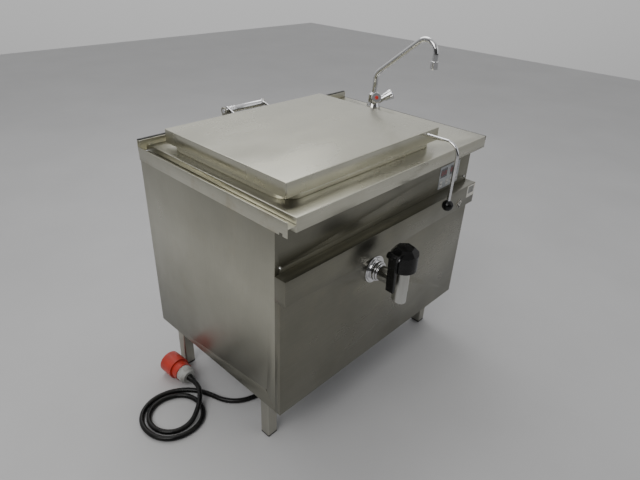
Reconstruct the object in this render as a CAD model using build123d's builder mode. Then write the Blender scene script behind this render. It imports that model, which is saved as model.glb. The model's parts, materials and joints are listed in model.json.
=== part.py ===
"""Electric soup (boiling) kettle: cabinet, jacketed pan, hinged lid, drain cock, tap and power cord.

Millimetres, +Z up, -Y is the front. The pieces are drawn about the cabinet's middle line, and save()
sets them in the shared frame, whose origin is on the floor under the middle of the bounding box.
Every named solid is written to parts/<label>.step.
"""

import math
import os

from build123d import *

os.makedirs("parts", exist_ok=True)


# The tap's knob stands out over the right side and the pieces are drawn from a line near the middle of
# the depth, so the middle of the whole object's box is this far right of and behind the drawing's origin.
FRAME_SHIFT_X, FRAME_SHIFT_Y = 16.0, 16.5


def save(solid, label):
    """Set one finished piece in the shared frame, label it and write its STEP file."""
    placed = solid.moved(Location((-FRAME_SHIFT_X, -FRAME_SHIFT_Y, 0)))
    placed.label = label
    export_step(placed, "parts/" + label + ".step")


# ---------------------------------------------------------------- cabinet
SHEET = 2.0
CAB_W = 1000.0
HALF_W = CAB_W / 2
CAB_REAR = 427.0
SKIRT_Y = -273.0
FASCIA_Y = -225.0
RAIL_Y = -268.0
LOWER_Y = -246.0
TOP_Z = 900.0
SKIRT_Z = 857.0
RAIL_TOP = 715.0
RAIL_LOW = 633.0
CAB_LOW = 197.0
FASCIA_LOW = 645.0
TRAY_H = 30.0
RETURN_W = 40.0
PANEL_H = SKIRT_Z - CAB_LOW
PANEL_MID_Z = (SKIRT_Z + CAB_LOW) / 2
REAR_PANEL_Y = CAB_REAR - SHEET

# Drain axis and holes through the front
DRAIN_X = -81.0
DRAIN_Z = 565.0
DRAIN_PIPE_R = 26.0
DRAIN_BORE_R = 20.0

# Cable gland hole in the tray
GLAND_X = -215.0
GLAND_Y = 0.0
GLAND_R = 12.5

with BuildPart() as base_tray:
    with BuildSketch(Plane.XY.offset(CAB_LOW)):
        with Locations((0, (FASCIA_Y + REAR_PANEL_Y) / 2)):
            Rectangle(CAB_W - 2 * SHEET, REAR_PANEL_Y - FASCIA_Y)
    extrude(amount=TRAY_H)
    offset(amount=-SHEET, openings=base_tray.faces().sort_by(Axis.Z)[-1])
    with Locations((GLAND_X, GLAND_Y, CAB_LOW + SHEET)):
        Hole(radius=GLAND_R)
save(base_tray.part, "base_tray")

# Side panels: one sheet each, folded inward at the top
with BuildPart() as side_panel_left:
    with BuildSketch(Plane.XZ.offset(-FASCIA_Y)):
        with BuildLine():
            Polyline(
                (-HALF_W, CAB_LOW),
                (-HALF_W, SKIRT_Z),
                (-HALF_W + RETURN_W, SKIRT_Z),
                (-HALF_W + RETURN_W, SKIRT_Z - SHEET),
                (-HALF_W + SHEET, SKIRT_Z - SHEET),
                (-HALF_W + SHEET, CAB_LOW),
                close=True,
            )
        make_face()
    extrude(amount=-(CAB_REAR - FASCIA_Y))
    # The rear panel and the fascia stand in these notches of the folded edge.
    with Locations((-HALF_W + SHEET + RETURN_W / 2, REAR_PANEL_Y + SHEET / 2, SKIRT_Z)):
        Box(RETURN_W, SHEET, 2 * SHEET, mode=Mode.SUBTRACT)
    with Locations((-HALF_W + SHEET + RETURN_W / 2, FASCIA_Y + SHEET / 2, SKIRT_Z)):
        Box(RETURN_W, SHEET, 2 * SHEET, mode=Mode.SUBTRACT)
    # Small pilot hole near the lower front edge
    SIDE_HOLE_R = 2.5
    SIDE_HOLE_Y = -184.0
    SIDE_HOLE_Z = 263.0
    with BuildSketch(Plane.YZ.offset(-HALF_W)):
        with Locations((SIDE_HOLE_Y, SIDE_HOLE_Z)):
            Circle(SIDE_HOLE_R)
    extrude(amount=SHEET, mode=Mode.SUBTRACT)
side_panel_right_part = side_panel_left.part.mirror(Plane.YZ)
save(side_panel_left.part, "side_panel_left")
save(side_panel_right_part, "side_panel_right")

# Rear panel with two rows of ventilation slots
VENT_W = 60.0
VENT_H = 6.0
VENT_PITCH_X = 90.0
VENT_PITCH_Z = 22.0
VENT_Z = 320.0
with BuildPart() as rear_panel:
    with Locations((0, REAR_PANEL_Y + SHEET / 2, PANEL_MID_Z)):
        Box(CAB_W - 2 * SHEET, SHEET, PANEL_H)
    with BuildSketch(Plane.XZ.offset(-CAB_REAR)):
        with Locations((0, VENT_Z)):
            with GridLocations(VENT_PITCH_X, VENT_PITCH_Z, 6, 3):
                SlotOverall(VENT_W, VENT_H)
    extrude(amount=SHEET, mode=Mode.SUBTRACT)
save(rear_panel.part, "rear_panel")

# Lower front panel: a shallow folded tray, with the drain hole
with BuildPart() as lower_front_panel:
    with Locations((0, (LOWER_Y + FASCIA_Y) / 2, (RAIL_LOW + CAB_LOW) / 2)):
        Box(CAB_W, FASCIA_Y - LOWER_Y, RAIL_LOW - CAB_LOW)
    offset(amount=-SHEET, openings=lower_front_panel.faces().sort_by(Axis.Y)[-1])
    with BuildSketch(Plane.XZ.offset(-LOWER_Y)):
        with Locations((DRAIN_X, DRAIN_Z)):
            Circle(DRAIN_PIPE_R)
    extrude(amount=-SHEET, mode=Mode.SUBTRACT)
save(lower_front_panel.part, "lower_front_panel")

# Front rail: the projecting ledge below the fascia, open at the back
with BuildPart() as front_rail:
    with Locations((0, (RAIL_Y + FASCIA_Y) / 2, (RAIL_TOP + RAIL_LOW) / 2)):
        Box(CAB_W, FASCIA_Y - RAIL_Y, RAIL_TOP - RAIL_LOW)
    offset(amount=-SHEET, openings=front_rail.faces().sort_by(Axis.Y)[-1])
save(front_rail.part, "front_rail")

# ---------------------------------------------------------------- controls
FOIL_X0, FOIL_X1 = 294.0, 427.0
FOIL_Z0, FOIL_Z1 = 728.0, 814.0
FOIL_T = 0.8
FOIL_MID_X = (FOIL_X0 + FOIL_X1) / 2
FOIL_MID_Z = (FOIL_Z0 + FOIL_Z1) / 2
DISPLAY_W, DISPLAY_H, DISPLAY_T = 44.0, 30.0, 4.0
DISPLAY_X = (322.0, 384.0)
DISPLAY_Z = 788.0
KEY_W, KEY_H = 16.0, 22.0
KEY_X = (309.0, 350.0, 377.0, 413.0)
KEY_Z = 747.0
KEY_PROUD = 1.4
KEY_BACK = 9.0
KEY_GAP = 0.3
LED_R = 1.5
LED_X = (353.0, 418.0)
LED_Z = (779.0, 788.0, 797.0)
SCREW_X, SCREW_Z = 479.0, 732.0
SCREW_R, SCREW_HEAD_R, SCREW_HEAD_H, SCREW_LEN = 2.5, 4.8, 2.6, 12.0

with BuildPart() as fascia_panel:
    with Locations((0, FASCIA_Y + SHEET / 2, (SKIRT_Z + FASCIA_LOW) / 2)):
        Box(CAB_W - 2 * SHEET, SHEET, SKIRT_Z - FASCIA_LOW)
    with BuildSketch(Plane.XZ.offset(-FASCIA_Y)):
        with Locations(*[(x, DISPLAY_Z) for x in DISPLAY_X]):
            Rectangle(DISPLAY_W, DISPLAY_H)
        with Locations(*[(x, KEY_Z) for x in KEY_X]):
            Rectangle(KEY_W + 2 * KEY_GAP, KEY_H + 2 * KEY_GAP)
        with Locations((-SCREW_X, SCREW_Z), (SCREW_X, SCREW_Z)):
            Circle(SCREW_R)
        with Locations(*[(x, z) for x in LED_X for z in LED_Z]):
            Circle(LED_R)
    extrude(amount=-SHEET, mode=Mode.SUBTRACT)
save(fascia_panel.part, "fascia_panel")

with BuildPart() as control_foil:
    with BuildSketch(Plane.XZ.offset(-FASCIA_Y)):
        with Locations((FOIL_MID_X, FOIL_MID_Z)):
            RectangleRounded(FOIL_X1 - FOIL_X0, FOIL_Z1 - FOIL_Z0, 3.0)
        with Locations(*[(x, DISPLAY_Z) for x in DISPLAY_X]):
            Rectangle(DISPLAY_W, DISPLAY_H, mode=Mode.SUBTRACT)
        with Locations(*[(x, KEY_Z) for x in KEY_X]):
            Rectangle(KEY_W + 2 * KEY_GAP, KEY_H + 2 * KEY_GAP, mode=Mode.SUBTRACT)
        with Locations(*[(x, z) for x in LED_X for z in LED_Z]):
            Circle(LED_R, mode=Mode.SUBTRACT)
    extrude(amount=FOIL_T)
save(control_foil.part, "control_foil")

with BuildPart() as display_windows:
    with BuildSketch(Plane.XZ.offset(-(FASCIA_Y - FOIL_T))):
        with Locations(*[(x, DISPLAY_Z) for x in DISPLAY_X]):
            Rectangle(DISPLAY_W, DISPLAY_H)
    extrude(amount=-DISPLAY_T)
save(display_windows.part, "display_windows")

# Each key is a cap with a wider flange behind the fascia that keeps it in.
KEY_FLANGE_T = 1.5
KEY_FLANGE_LIP = 1.2
for number, key_x in enumerate(KEY_X, start=1):
    with BuildPart() as key:
        with BuildSketch(Plane.XZ.offset(-(FASCIA_Y - FOIL_T - KEY_PROUD))):
            with Locations((key_x, KEY_Z)):
                RectangleRounded(KEY_W, KEY_H, 1.5)
        extrude(amount=-KEY_BACK)
        with BuildSketch(Plane.XZ.offset(-(FASCIA_Y + SHEET))):
            with Locations((key_x, KEY_Z)):
                Rectangle(KEY_W + 2 * KEY_FLANGE_LIP, KEY_H + 2 * KEY_FLANGE_LIP)
        extrude(amount=-KEY_FLANGE_T)
        fillet(key.faces().sort_by(Axis.Y)[0].edges(), radius=0.5)
    save(key.part, "key_" + str(number))

# Housing behind the fascia: an open-fronted box with the circuit board across it
HOUSE_X0, HOUSE_X1 = 290.0, 431.0
HOUSE_Z0, HOUSE_Z1 = 724.0, 818.0
HOUSE_DEPTH = 55.0
BOARD_DEPTH = 20.0
BOARD_T = 1.6
with BuildPart() as control_housing:
    with Locations((FOIL_MID_X, FASCIA_Y + SHEET + HOUSE_DEPTH / 2, FOIL_MID_Z)):
        Box(HOUSE_X1 - HOUSE_X0, HOUSE_DEPTH, HOUSE_Z1 - HOUSE_Z0)
    offset(amount=-SHEET, openings=control_housing.faces().sort_by(Axis.Y)[0])
    with Locations((FOIL_MID_X, FASCIA_Y + SHEET + BOARD_DEPTH, FOIL_MID_Z)):
        Box(HOUSE_X1 - HOUSE_X0 - SHEET, BOARD_T, HOUSE_Z1 - HOUSE_Z0 - SHEET)
save(control_housing.part, "control_housing")

with BuildPart() as panel_screws:
    for screw_x in (-SCREW_X, SCREW_X):
        with BuildSketch(Plane.XZ.offset(-FASCIA_Y)):
            with Locations((screw_x, SCREW_Z)):
                Circle(SCREW_HEAD_R)
        extrude(amount=SCREW_HEAD_H, taper=18)
        with BuildSketch(Plane.XZ.offset(-FASCIA_Y)):
            with Locations((screw_x, SCREW_Z)):
                Circle(SCREW_R)
        extrude(amount=-SCREW_LEN)
        with BuildSketch(Plane.XZ.offset(-(FASCIA_Y - SCREW_HEAD_H))):
            with Locations((screw_x, SCREW_Z)):
                Rectangle(4.4, 0.9)
                Rectangle(0.9, 4.4)
        extrude(amount=-1.2, mode=Mode.SUBTRACT)
save(panel_screws.part, "panel_screws")

# ---------------------------------------------------------------- worktop
WT_X0, WT_X1 = -468.0, HALF_W
SEAL_W, SEAL_H = 3.5, 15.0
LID_W, LID_D = 713.0, 565.0
LID_X, LID_Y = -83.0, 78.0
RIM_W, RIM_D, RIM_R = 700.0, 552.0, 62.0
RIM_TOP = 916.0
PAN_W, PAN_D, PAN_R = 640.0, 492.0, 80.0
PAN_T = 3.0
CUT_W, CUT_D, CUT_R = 672.0, 524.0, 72.0
TAP_X, TAP_Y = 467.0, 232.0
TAP_HOLE_R = 16.0
EDGE_R = 2.5

with BuildPart() as worktop:
    with Locations(((WT_X0 + WT_X1) / 2, (SKIRT_Y + CAB_REAR) / 2, (TOP_Z + SKIRT_Z) / 2)):
        Box(WT_X1 - WT_X0, CAB_REAR - SKIRT_Y, TOP_Z - SKIRT_Z)
    # Step along the right edge for the seal
    with Locations((WT_X1 - SEAL_W / 2, (SKIRT_Y + CAB_REAR) / 2, TOP_Z - SEAL_H / 2)):
        Box(SEAL_W, CAB_REAR - SKIRT_Y, SEAL_H, mode=Mode.SUBTRACT)
    fillet(worktop.edges().filter_by(Axis.X).group_by(Axis.Z)[-1].sort_by(Axis.Y)[0], radius=EDGE_R)
    fillet(worktop.edges().filter_by(Axis.Y).group_by(Axis.Z)[-1].sort_by(Axis.X)[0], radius=EDGE_R)
    # Hollow from below: the lower part is wider than the part beside the seal.
    LOW_H = TOP_Z - SEAL_H - SHEET - SKIRT_Z
    with Locations(
        (
            (WT_X0 + WT_X1) / 2,
            (SKIRT_Y + CAB_REAR) / 2,
            SKIRT_Z + LOW_H / 2,
        )
    ):
        Box(WT_X1 - WT_X0 - 2 * SHEET, CAB_REAR - SKIRT_Y - 2 * SHEET, LOW_H, mode=Mode.SUBTRACT)
    with Locations(
        (
            (WT_X0 + WT_X1 - SEAL_W) / 2,
            (SKIRT_Y + CAB_REAR) / 2,
            (SKIRT_Z + TOP_Z - SHEET) / 2,
        )
    ):
        Box(
            WT_X1 - WT_X0 - SEAL_W - 2 * SHEET,
            CAB_REAR - SKIRT_Y - 2 * SHEET,
            TOP_Z - SHEET - SKIRT_Z,
            mode=Mode.SUBTRACT,
        )
    with BuildSketch(Plane.XY.offset(TOP_Z)):
        with Locations((LID_X, LID_Y)):
            RectangleRounded(CUT_W, CUT_D, CUT_R)
        with Locations((TAP_X, TAP_Y)):
            Circle(TAP_HOLE_R)
    extrude(amount=-SHEET, mode=Mode.SUBTRACT)
save(worktop.part, "worktop")

# Upstand: an inverted channel along the rear edge, open at its ends
UP_Y0, UP_Y1 = 417.0, 431.0
UP_X0, UP_X1 = -502.0, 498.0
UP_TOP = 922.0
UP_SEAL_H = 3.0
with BuildPart() as upstand:
    with BuildSketch(Plane.YZ.offset(UP_X0)):
        with BuildLine():
            Polyline(
                (UP_Y0, TOP_Z),
                (UP_Y0, UP_TOP),
                (UP_Y1, UP_TOP),
                (UP_Y1, TOP_Z - 20.0),
                (UP_Y1 - SHEET, TOP_Z - 20.0),
                (UP_Y1 - SHEET, UP_TOP - SHEET),
                (UP_Y0 + SHEET, UP_TOP - SHEET),
                (UP_Y0 + SHEET, TOP_Z),
                close=True,
            )
        make_face()
    extrude(amount=UP_X1 - UP_X0)
    fillet(upstand.edges().filter_by(Axis.X).group_by(Axis.Z)[-1], radius=1.5)
save(upstand.part, "upstand")

# Black sealing strips: one on the upstand, one in the worktop's right-hand step
with BuildPart() as edge_seals:
    with Locations(((UP_X0 + UP_X1) / 2, (UP_Y0 + UP_Y1) / 2 + 1.0, UP_TOP + UP_SEAL_H / 2)):
        Box(UP_X1 - UP_X0, 8.0, UP_SEAL_H)
    with Locations((WT_X1 - SEAL_W / 2, (SKIRT_Y + UP_Y0) / 2, TOP_Z - SEAL_H / 2)):
        Box(SEAL_W, UP_Y0 - SKIRT_Y, SEAL_H)
save(edge_seals.part, "edge_seals")

# Coupling rail on the left: outer plate, channel floor and inner leg
PLATE_Z0, PLATE_Z1 = 853.0, 898.0
PLATE_Y0, PLATE_Y1 = -276.0, 429.0
FLOOR_Z = 880.0
LEG_X = -470.0
NOTCH_Y0, NOTCH_Y1, NOTCH_TOP = -258.0, -245.0, 861.0
with BuildPart() as coupling_rail:
    with BuildSketch(Plane.XZ.offset(-FASCIA_Y)):
        with BuildLine():
            Polyline(
                (-HALF_W - SHEET, PLATE_Z0),
                (-HALF_W - SHEET, PLATE_Z1),
                (-HALF_W, PLATE_Z1),
                (-HALF_W, FLOOR_Z),
                (LEG_X, FLOOR_Z),
                (LEG_X, SKIRT_Z),
                (LEG_X - SHEET, SKIRT_Z),
                (LEG_X - SHEET, FLOOR_Z - SHEET),
                (-HALF_W, FLOOR_Z - SHEET),
                (-HALF_W, PLATE_Z0),
                close=True,
            )
        make_face()
    extrude(amount=-(REAR_PANEL_Y - FASCIA_Y))
    # Forward of the cabinet the plate and the channel floor run on alone.
    with BuildSketch(Plane.XZ.offset(-PLATE_Y0)):
        with BuildLine():
            Polyline(
                (-HALF_W - SHEET, PLATE_Z0),
                (-HALF_W - SHEET, PLATE_Z1),
                (-HALF_W, PLATE_Z1),
                (-HALF_W, FLOOR_Z),
                (LEG_X, FLOOR_Z),
                (LEG_X, FLOOR_Z - SHEET),
                (-HALF_W, FLOOR_Z - SHEET),
                (-HALF_W, PLATE_Z0),
                close=True,
            )
        make_face()
    extrude(amount=-(FASCIA_Y - PLATE_Y0))
    with Locations((-HALF_W - SHEET / 2, (REAR_PANEL_Y + PLATE_Y1) / 2, (PLATE_Z0 + PLATE_Z1) / 2)):
        Box(SHEET, PLATE_Y1 - REAR_PANEL_Y, PLATE_Z1 - PLATE_Z0)
    with Locations((-HALF_W - SHEET / 2, (NOTCH_Y0 + NOTCH_Y1) / 2, (PLATE_Z0 + NOTCH_TOP) / 2)):
        Box(2 * SHEET, NOTCH_Y1 - NOTCH_Y0, NOTCH_TOP - PLATE_Z0, mode=Mode.SUBTRACT)
save(coupling_rail.part, "coupling_rail")

# ---------------------------------------------------------------- labels
BADGE_X, BADGE_Z, BADGE_SIDE, BADGE_T = 396.0, 658.0, 27.0, 1.2
RATING_X0, RATING_X1, RATING_Z0, RATING_Z1, RATING_T = 444.0, 499.0, 665.0, 712.0, 0.4
with BuildPart() as label_plates:
    with BuildSketch(Plane.XZ.offset(-RAIL_Y)):
        with Locations(Location((BADGE_X, BADGE_Z, 0), (0, 0, 1), 45)):
            RectangleRounded(BADGE_SIDE, BADGE_SIDE, 1.5)
    extrude(amount=BADGE_T)
    with BuildSketch(Plane.XZ.offset(-RAIL_Y)):
        with Locations(((RATING_X0 + RATING_X1) / 2, (RATING_Z0 + RATING_Z1) / 2)):
            Rectangle(RATING_X1 - RATING_X0, RATING_Z1 - RATING_Z0)
    extrude(amount=RATING_T)
save(label_plates.part, "label_plates")

# ---------------------------------------------------------------- legs
LEG_SIDE, LEG_T = 40.0, 2.5
LEG_LOW = 8.0
LEG_CX, LEG_FRONT, LEG_REAR = 454.5, -141.0, 353.5
LEG_PLACES = {
    "leg_front_left": (-LEG_CX, LEG_FRONT),
    "leg_front_right": (LEG_CX, LEG_FRONT),
    "leg_rear_left": (-LEG_CX, LEG_REAR),
    "leg_rear_right": (LEG_CX, LEG_REAR),
}
for leg_name, leg_place in LEG_PLACES.items():
    with BuildPart() as leg:
        with BuildSketch(Plane.XY.offset(LEG_LOW)):
            with Locations(leg_place):
                RectangleRounded(LEG_SIDE, LEG_SIDE, 4.0)
                Rectangle(LEG_SIDE - 2 * LEG_T, LEG_SIDE - 2 * LEG_T, mode=Mode.SUBTRACT)
        extrude(amount=CAB_LOW - LEG_LOW)
    save(leg.part, leg_name)

FOOT_PLUG_H = 30.0
with BuildPart() as feet:
    with BuildSketch(Plane.XY):
        with Locations(*LEG_PLACES.values()):
            RectangleRounded(LEG_SIDE, LEG_SIDE, 4.0)
    extrude(amount=LEG_LOW)
    with BuildSketch(Plane.XY.offset(LEG_LOW)):
        with Locations(*LEG_PLACES.values()):
            Rectangle(LEG_SIDE - 2 * LEG_T, LEG_SIDE - 2 * LEG_T)
    extrude(amount=FOOT_PLUG_H)
    chamfer(feet.faces().group_by(Axis.Z)[0].edges(), length=1.5)
save(feet.part, "feet")

# ---------------------------------------------------------------- pan and jacket
PAN_FLOOR = DRAIN_Z - DRAIN_BORE_R
PAN_LIP = RIM_TOP - SHEET
with BuildPart() as pan_rim:
    with BuildSketch(Plane.XY.offset(TOP_Z)):
        with Locations((LID_X, LID_Y)):
            RectangleRounded(RIM_W, RIM_D, RIM_R)
            RectangleRounded(PAN_W, PAN_D, PAN_R, mode=Mode.SUBTRACT)
    extrude(amount=RIM_TOP - TOP_Z)
    RIM_EDGES = pan_rim.faces().sort_by(Axis.Z)[-1].outer_wire().edges()
    fillet(RIM_EDGES, radius=4.0)
    with BuildSketch(Plane.XY.offset(TOP_Z)):
        with Locations((LID_X, LID_Y)):
            RectangleRounded(RIM_W - 2 * SHEET, RIM_D - 2 * SHEET, RIM_R - SHEET)
            RectangleRounded(PAN_W - 1.0, PAN_D - 1.0, PAN_R, mode=Mode.SUBTRACT)
    extrude(amount=PAN_LIP - TOP_Z, mode=Mode.SUBTRACT)
    with BuildSketch(Plane.XY.offset(TOP_Z)):
        with Locations((LID_X, LID_Y)):
            RectangleRounded(PAN_W + 2 * PAN_T, PAN_D + 2 * PAN_T, PAN_R + PAN_T)
    extrude(amount=PAN_LIP - TOP_Z, mode=Mode.SUBTRACT)
save(pan_rim.part, "pan_rim")

PAN_FRONT_Y = LID_Y - PAN_D / 2 - PAN_T
with BuildPart() as kettle_pan:
    with BuildSketch(Plane.XY.offset(PAN_FLOOR - PAN_T)):
        with Locations((LID_X, LID_Y)):
            RectangleRounded(PAN_W + 2 * PAN_T, PAN_D + 2 * PAN_T, PAN_R + PAN_T)
    extrude(amount=PAN_LIP - PAN_FLOOR + PAN_T)
    fillet(kettle_pan.faces().sort_by(Axis.Z)[0].edges(), radius=12.0 + PAN_T)
    offset(amount=-PAN_T, openings=kettle_pan.faces().sort_by(Axis.Z)[-1])
    with BuildSketch(Plane.XZ.offset(-PAN_FRONT_Y)):
        with Locations((DRAIN_X, DRAIN_Z)):
            Circle(DRAIN_BORE_R - 2.0)
    extrude(amount=-3 * PAN_T, mode=Mode.SUBTRACT)
save(kettle_pan.part, "kettle_pan")

# Steam jacket: outer shell round the lower pan, closed at its top against the pan wall
JACKET_GAP = 25.0
JACKET_T = 2.0
JACKET_LOW, JACKET_TOP = 440.0, 800.0
JACKET_W = PAN_W + 2 * (PAN_T + JACKET_GAP + JACKET_T)
JACKET_D = PAN_D + 2 * (PAN_T + JACKET_GAP + JACKET_T)
JACKET_R = PAN_R + PAN_T + JACKET_GAP + JACKET_T
with BuildPart() as steam_jacket:
    with BuildSketch(Plane.XY.offset(JACKET_LOW)):
        with Locations((LID_X, LID_Y)):
            RectangleRounded(JACKET_W, JACKET_D, JACKET_R)
    extrude(amount=JACKET_TOP - JACKET_LOW)
    with BuildSketch(Plane.XY.offset(JACKET_LOW + JACKET_T)):
        with Locations((LID_X, LID_Y)):
            RectangleRounded(JACKET_W - 2 * JACKET_T, JACKET_D - 2 * JACKET_T, JACKET_R - JACKET_T)
    extrude(amount=JACKET_TOP - JACKET_LOW - 2 * JACKET_T, mode=Mode.SUBTRACT)
    with BuildSketch(Plane.XY.offset(JACKET_TOP)):
        with Locations((LID_X, LID_Y)):
            RectangleRounded(PAN_W + 2 * PAN_T, PAN_D + 2 * PAN_T, PAN_R + PAN_T)
    extrude(amount=-JACKET_T, mode=Mode.SUBTRACT)
    with BuildSketch(Plane.XZ.offset(-(LID_Y - JACKET_D / 2))):
        with Locations((DRAIN_X, DRAIN_Z)):
            Circle(DRAIN_PIPE_R)
    extrude(amount=-JACKET_T, mode=Mode.SUBTRACT)
    # Holes for the heating elements and the safety valve in the right-hand wall
    ELEMENT_Y = (-40.0, 78.0, 196.0)
    ELEMENT_Z = 485.0
    PLUG_R = 21.0
    VALVE_Y, VALVE_Z, VALVE_R = 78.0, 740.0, 10.0
    JACKET_RIGHT = LID_X + JACKET_W / 2
    with BuildSketch(Plane.YZ.offset(JACKET_RIGHT - JACKET_T)):
        with Locations(*[(y, ELEMENT_Z) for y in ELEMENT_Y]):
            Circle(PLUG_R)
        with Locations((VALVE_Y, VALVE_Z)):
            Circle(VALVE_R)
    extrude(amount=JACKET_T, mode=Mode.SUBTRACT)
save(steam_jacket.part, "steam_jacket")

# Insulation blanket round the jacket, kept clear of it all over
WOOL_GAP = 0.5
WOOL_T = 17.0
WOOL_LOW, WOOL_TOP = JACKET_LOW - WOOL_GAP - WOOL_T, 796.0
DRAIN_CLEAR = 3.0
with BuildPart() as insulation:
    with BuildSketch(Plane.XY.offset(WOOL_LOW)):
        with Locations((LID_X, LID_Y)):
            RectangleRounded(
                JACKET_W + 2 * (WOOL_GAP + WOOL_T),
                JACKET_D + 2 * (WOOL_GAP + WOOL_T),
                JACKET_R + WOOL_GAP + WOOL_T,
            )
    extrude(amount=WOOL_TOP - WOOL_LOW)
    with BuildSketch(Plane.XY.offset(WOOL_TOP)):
        with Locations((LID_X, LID_Y)):
            RectangleRounded(JACKET_W + 2 * WOOL_GAP, JACKET_D + 2 * WOOL_GAP, JACKET_R + WOOL_GAP)
    extrude(amount=-(WOOL_TOP - WOOL_LOW - WOOL_T), mode=Mode.SUBTRACT)
    with BuildSketch(Plane.XZ.offset(-(LID_Y - JACKET_D / 2))):
        with Locations((DRAIN_X, DRAIN_Z)):
            Circle(DRAIN_PIPE_R + DRAIN_CLEAR)
    extrude(amount=2 * WOOL_T, mode=Mode.SUBTRACT)
    with BuildSketch(Plane.YZ.offset(JACKET_RIGHT)):
        with Locations(*[(y, ELEMENT_Z) for y in ELEMENT_Y]):
            Circle(PLUG_R + 12.0)
        with Locations((VALVE_Y, VALVE_Z + 25.0)):
            Rectangle(2 * VALVE_R + 20.0, 90.0)
    extrude(amount=2 * WOOL_T, mode=Mode.SUBTRACT)
save(insulation.part, "insulation")

# Three screw-in heating elements, each a hairpin on a hexagonal plug
ROD_R = 4.2
HAIRPIN_X = -330.0
HAIRPIN_HALF = 12.0
HEX_T, HEX_AF = 14.0, 50.0
TERMINAL_LEN = 18.0
with BuildPart() as heating_elements:
    for element_y in ELEMENT_Y:
        with BuildSketch(Plane.YZ.offset(JACKET_RIGHT - JACKET_T - 4.0)):
            with Locations((element_y, ELEMENT_Z)):
                Circle(PLUG_R)
        extrude(amount=JACKET_T + 4.0)
        with BuildSketch(Plane.YZ.offset(JACKET_RIGHT)):
            with Locations((element_y, ELEMENT_Z)):
                RegularPolygon(HEX_AF / 2, 6, major_radius=False)
        extrude(amount=HEX_T)
        with BuildSketch(Plane.YZ.offset(JACKET_RIGHT + HEX_T)):
            with Locations((element_y - HAIRPIN_HALF, ELEMENT_Z), (element_y + HAIRPIN_HALF, ELEMENT_Z)):
                Circle(ROD_R / 2)
        extrude(amount=TERMINAL_LEN)
        with BuildLine(Plane.XY.offset(ELEMENT_Z)) as hairpin_path:
            Line((JACKET_RIGHT - JACKET_T, element_y - HAIRPIN_HALF), (HAIRPIN_X, element_y - HAIRPIN_HALF))
            ThreePointArc(
                (HAIRPIN_X, element_y - HAIRPIN_HALF),
                (HAIRPIN_X - HAIRPIN_HALF, element_y),
                (HAIRPIN_X, element_y + HAIRPIN_HALF),
            )
            Line((HAIRPIN_X, element_y + HAIRPIN_HALF), (JACKET_RIGHT - JACKET_T, element_y + HAIRPIN_HALF))
        with BuildSketch(Plane(origin=hairpin_path.line @ 0, z_dir=hairpin_path.line % 0)):
            Circle(ROD_R)
        sweep(path=hairpin_path.line)
save(heating_elements.part, "heating_elements")

# Relief valve: a neck through the jacket, a hexagon, and an upright body with a narrower outlet
RELIEF_NECK, RELIEF_HEX_T, RELIEF_HEX_R = 12.0, 16.0, 15.0
RELIEF_AXIS_X = JACKET_RIGHT + RELIEF_NECK + RELIEF_HEX_T / 2
RELIEF_BODY_R, RELIEF_BODY_H = 11.0, 42.0
RELIEF_OUTLET_R, RELIEF_OUTLET_H = 7.0, 14.0
with BuildPart() as relief_valve:
    with BuildSketch(Plane.YZ.offset(JACKET_RIGHT - JACKET_T)):
        with Locations((VALVE_Y, VALVE_Z)):
            Circle(VALVE_R)
    extrude(amount=JACKET_T + RELIEF_NECK)
    with BuildSketch(Plane.YZ.offset(JACKET_RIGHT + RELIEF_NECK)):
        with Locations((VALVE_Y, VALVE_Z)):
            RegularPolygon(RELIEF_HEX_R, 6, major_radius=False)
    extrude(amount=RELIEF_HEX_T)
    with BuildSketch(Plane.XY.offset(VALVE_Z)):
        with Locations((RELIEF_AXIS_X, VALVE_Y)):
            Circle(RELIEF_BODY_R)
    extrude(amount=RELIEF_BODY_H)
    with BuildSketch(Plane.XY.offset(VALVE_Z + RELIEF_BODY_H)):
        with Locations((RELIEF_AXIS_X, VALVE_Y)):
            Circle(RELIEF_OUTLET_R)
    extrude(amount=RELIEF_OUTLET_H)
save(relief_valve.part, "relief_valve")

# ---------------------------------------------------------------- electrics
TRAY_FLOOR_Z = CAB_LOW + SHEET
CONTACTOR_X, CONTACTOR_Y = 400.0, 120.0
CONTACTOR_SIZE = (60.0, 80.0, 90.0)
CONTACTOR_TOP_SIZE = (36.0, 50.0, 12.0)
with BuildPart() as contactor:
    with Locations((CONTACTOR_X, CONTACTOR_Y, TRAY_FLOOR_Z + CONTACTOR_SIZE[2] / 2)):
        Box(*CONTACTOR_SIZE)
    with Locations((CONTACTOR_X, CONTACTOR_Y, TRAY_FLOOR_Z + CONTACTOR_SIZE[2] + CONTACTOR_TOP_SIZE[2] / 2)):
        Box(*CONTACTOR_TOP_SIZE)
save(contactor.part, "contactor")

# Five cable clamps in a row on a base, each with a round screw head
TERMINAL_Y = 90.0
TERMINAL_BASE = (90.0, 40.0, 8.0)
CLAMP_SIZE = (14.0, 34.0, 28.0)
CLAMP_COUNT, CLAMP_PITCH = 5, 17.0
CLAMP_SCREW_R, CLAMP_SCREW_PROUD = 4.0, 2.0
with BuildPart() as terminal_block:
    with Locations((GLAND_X, TERMINAL_Y, TRAY_FLOOR_Z + TERMINAL_BASE[2] / 2)):
        Box(*TERMINAL_BASE)
    with Locations((GLAND_X, TERMINAL_Y, TRAY_FLOOR_Z + TERMINAL_BASE[2] + CLAMP_SIZE[2] / 2)):
        with GridLocations(CLAMP_PITCH, CLAMP_PITCH, CLAMP_COUNT, 1):
            Box(*CLAMP_SIZE)
            Cylinder(radius=CLAMP_SCREW_R, height=CLAMP_SIZE[2] + 2 * CLAMP_SCREW_PROUD)
save(terminal_block.part, "terminal_block")

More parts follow.
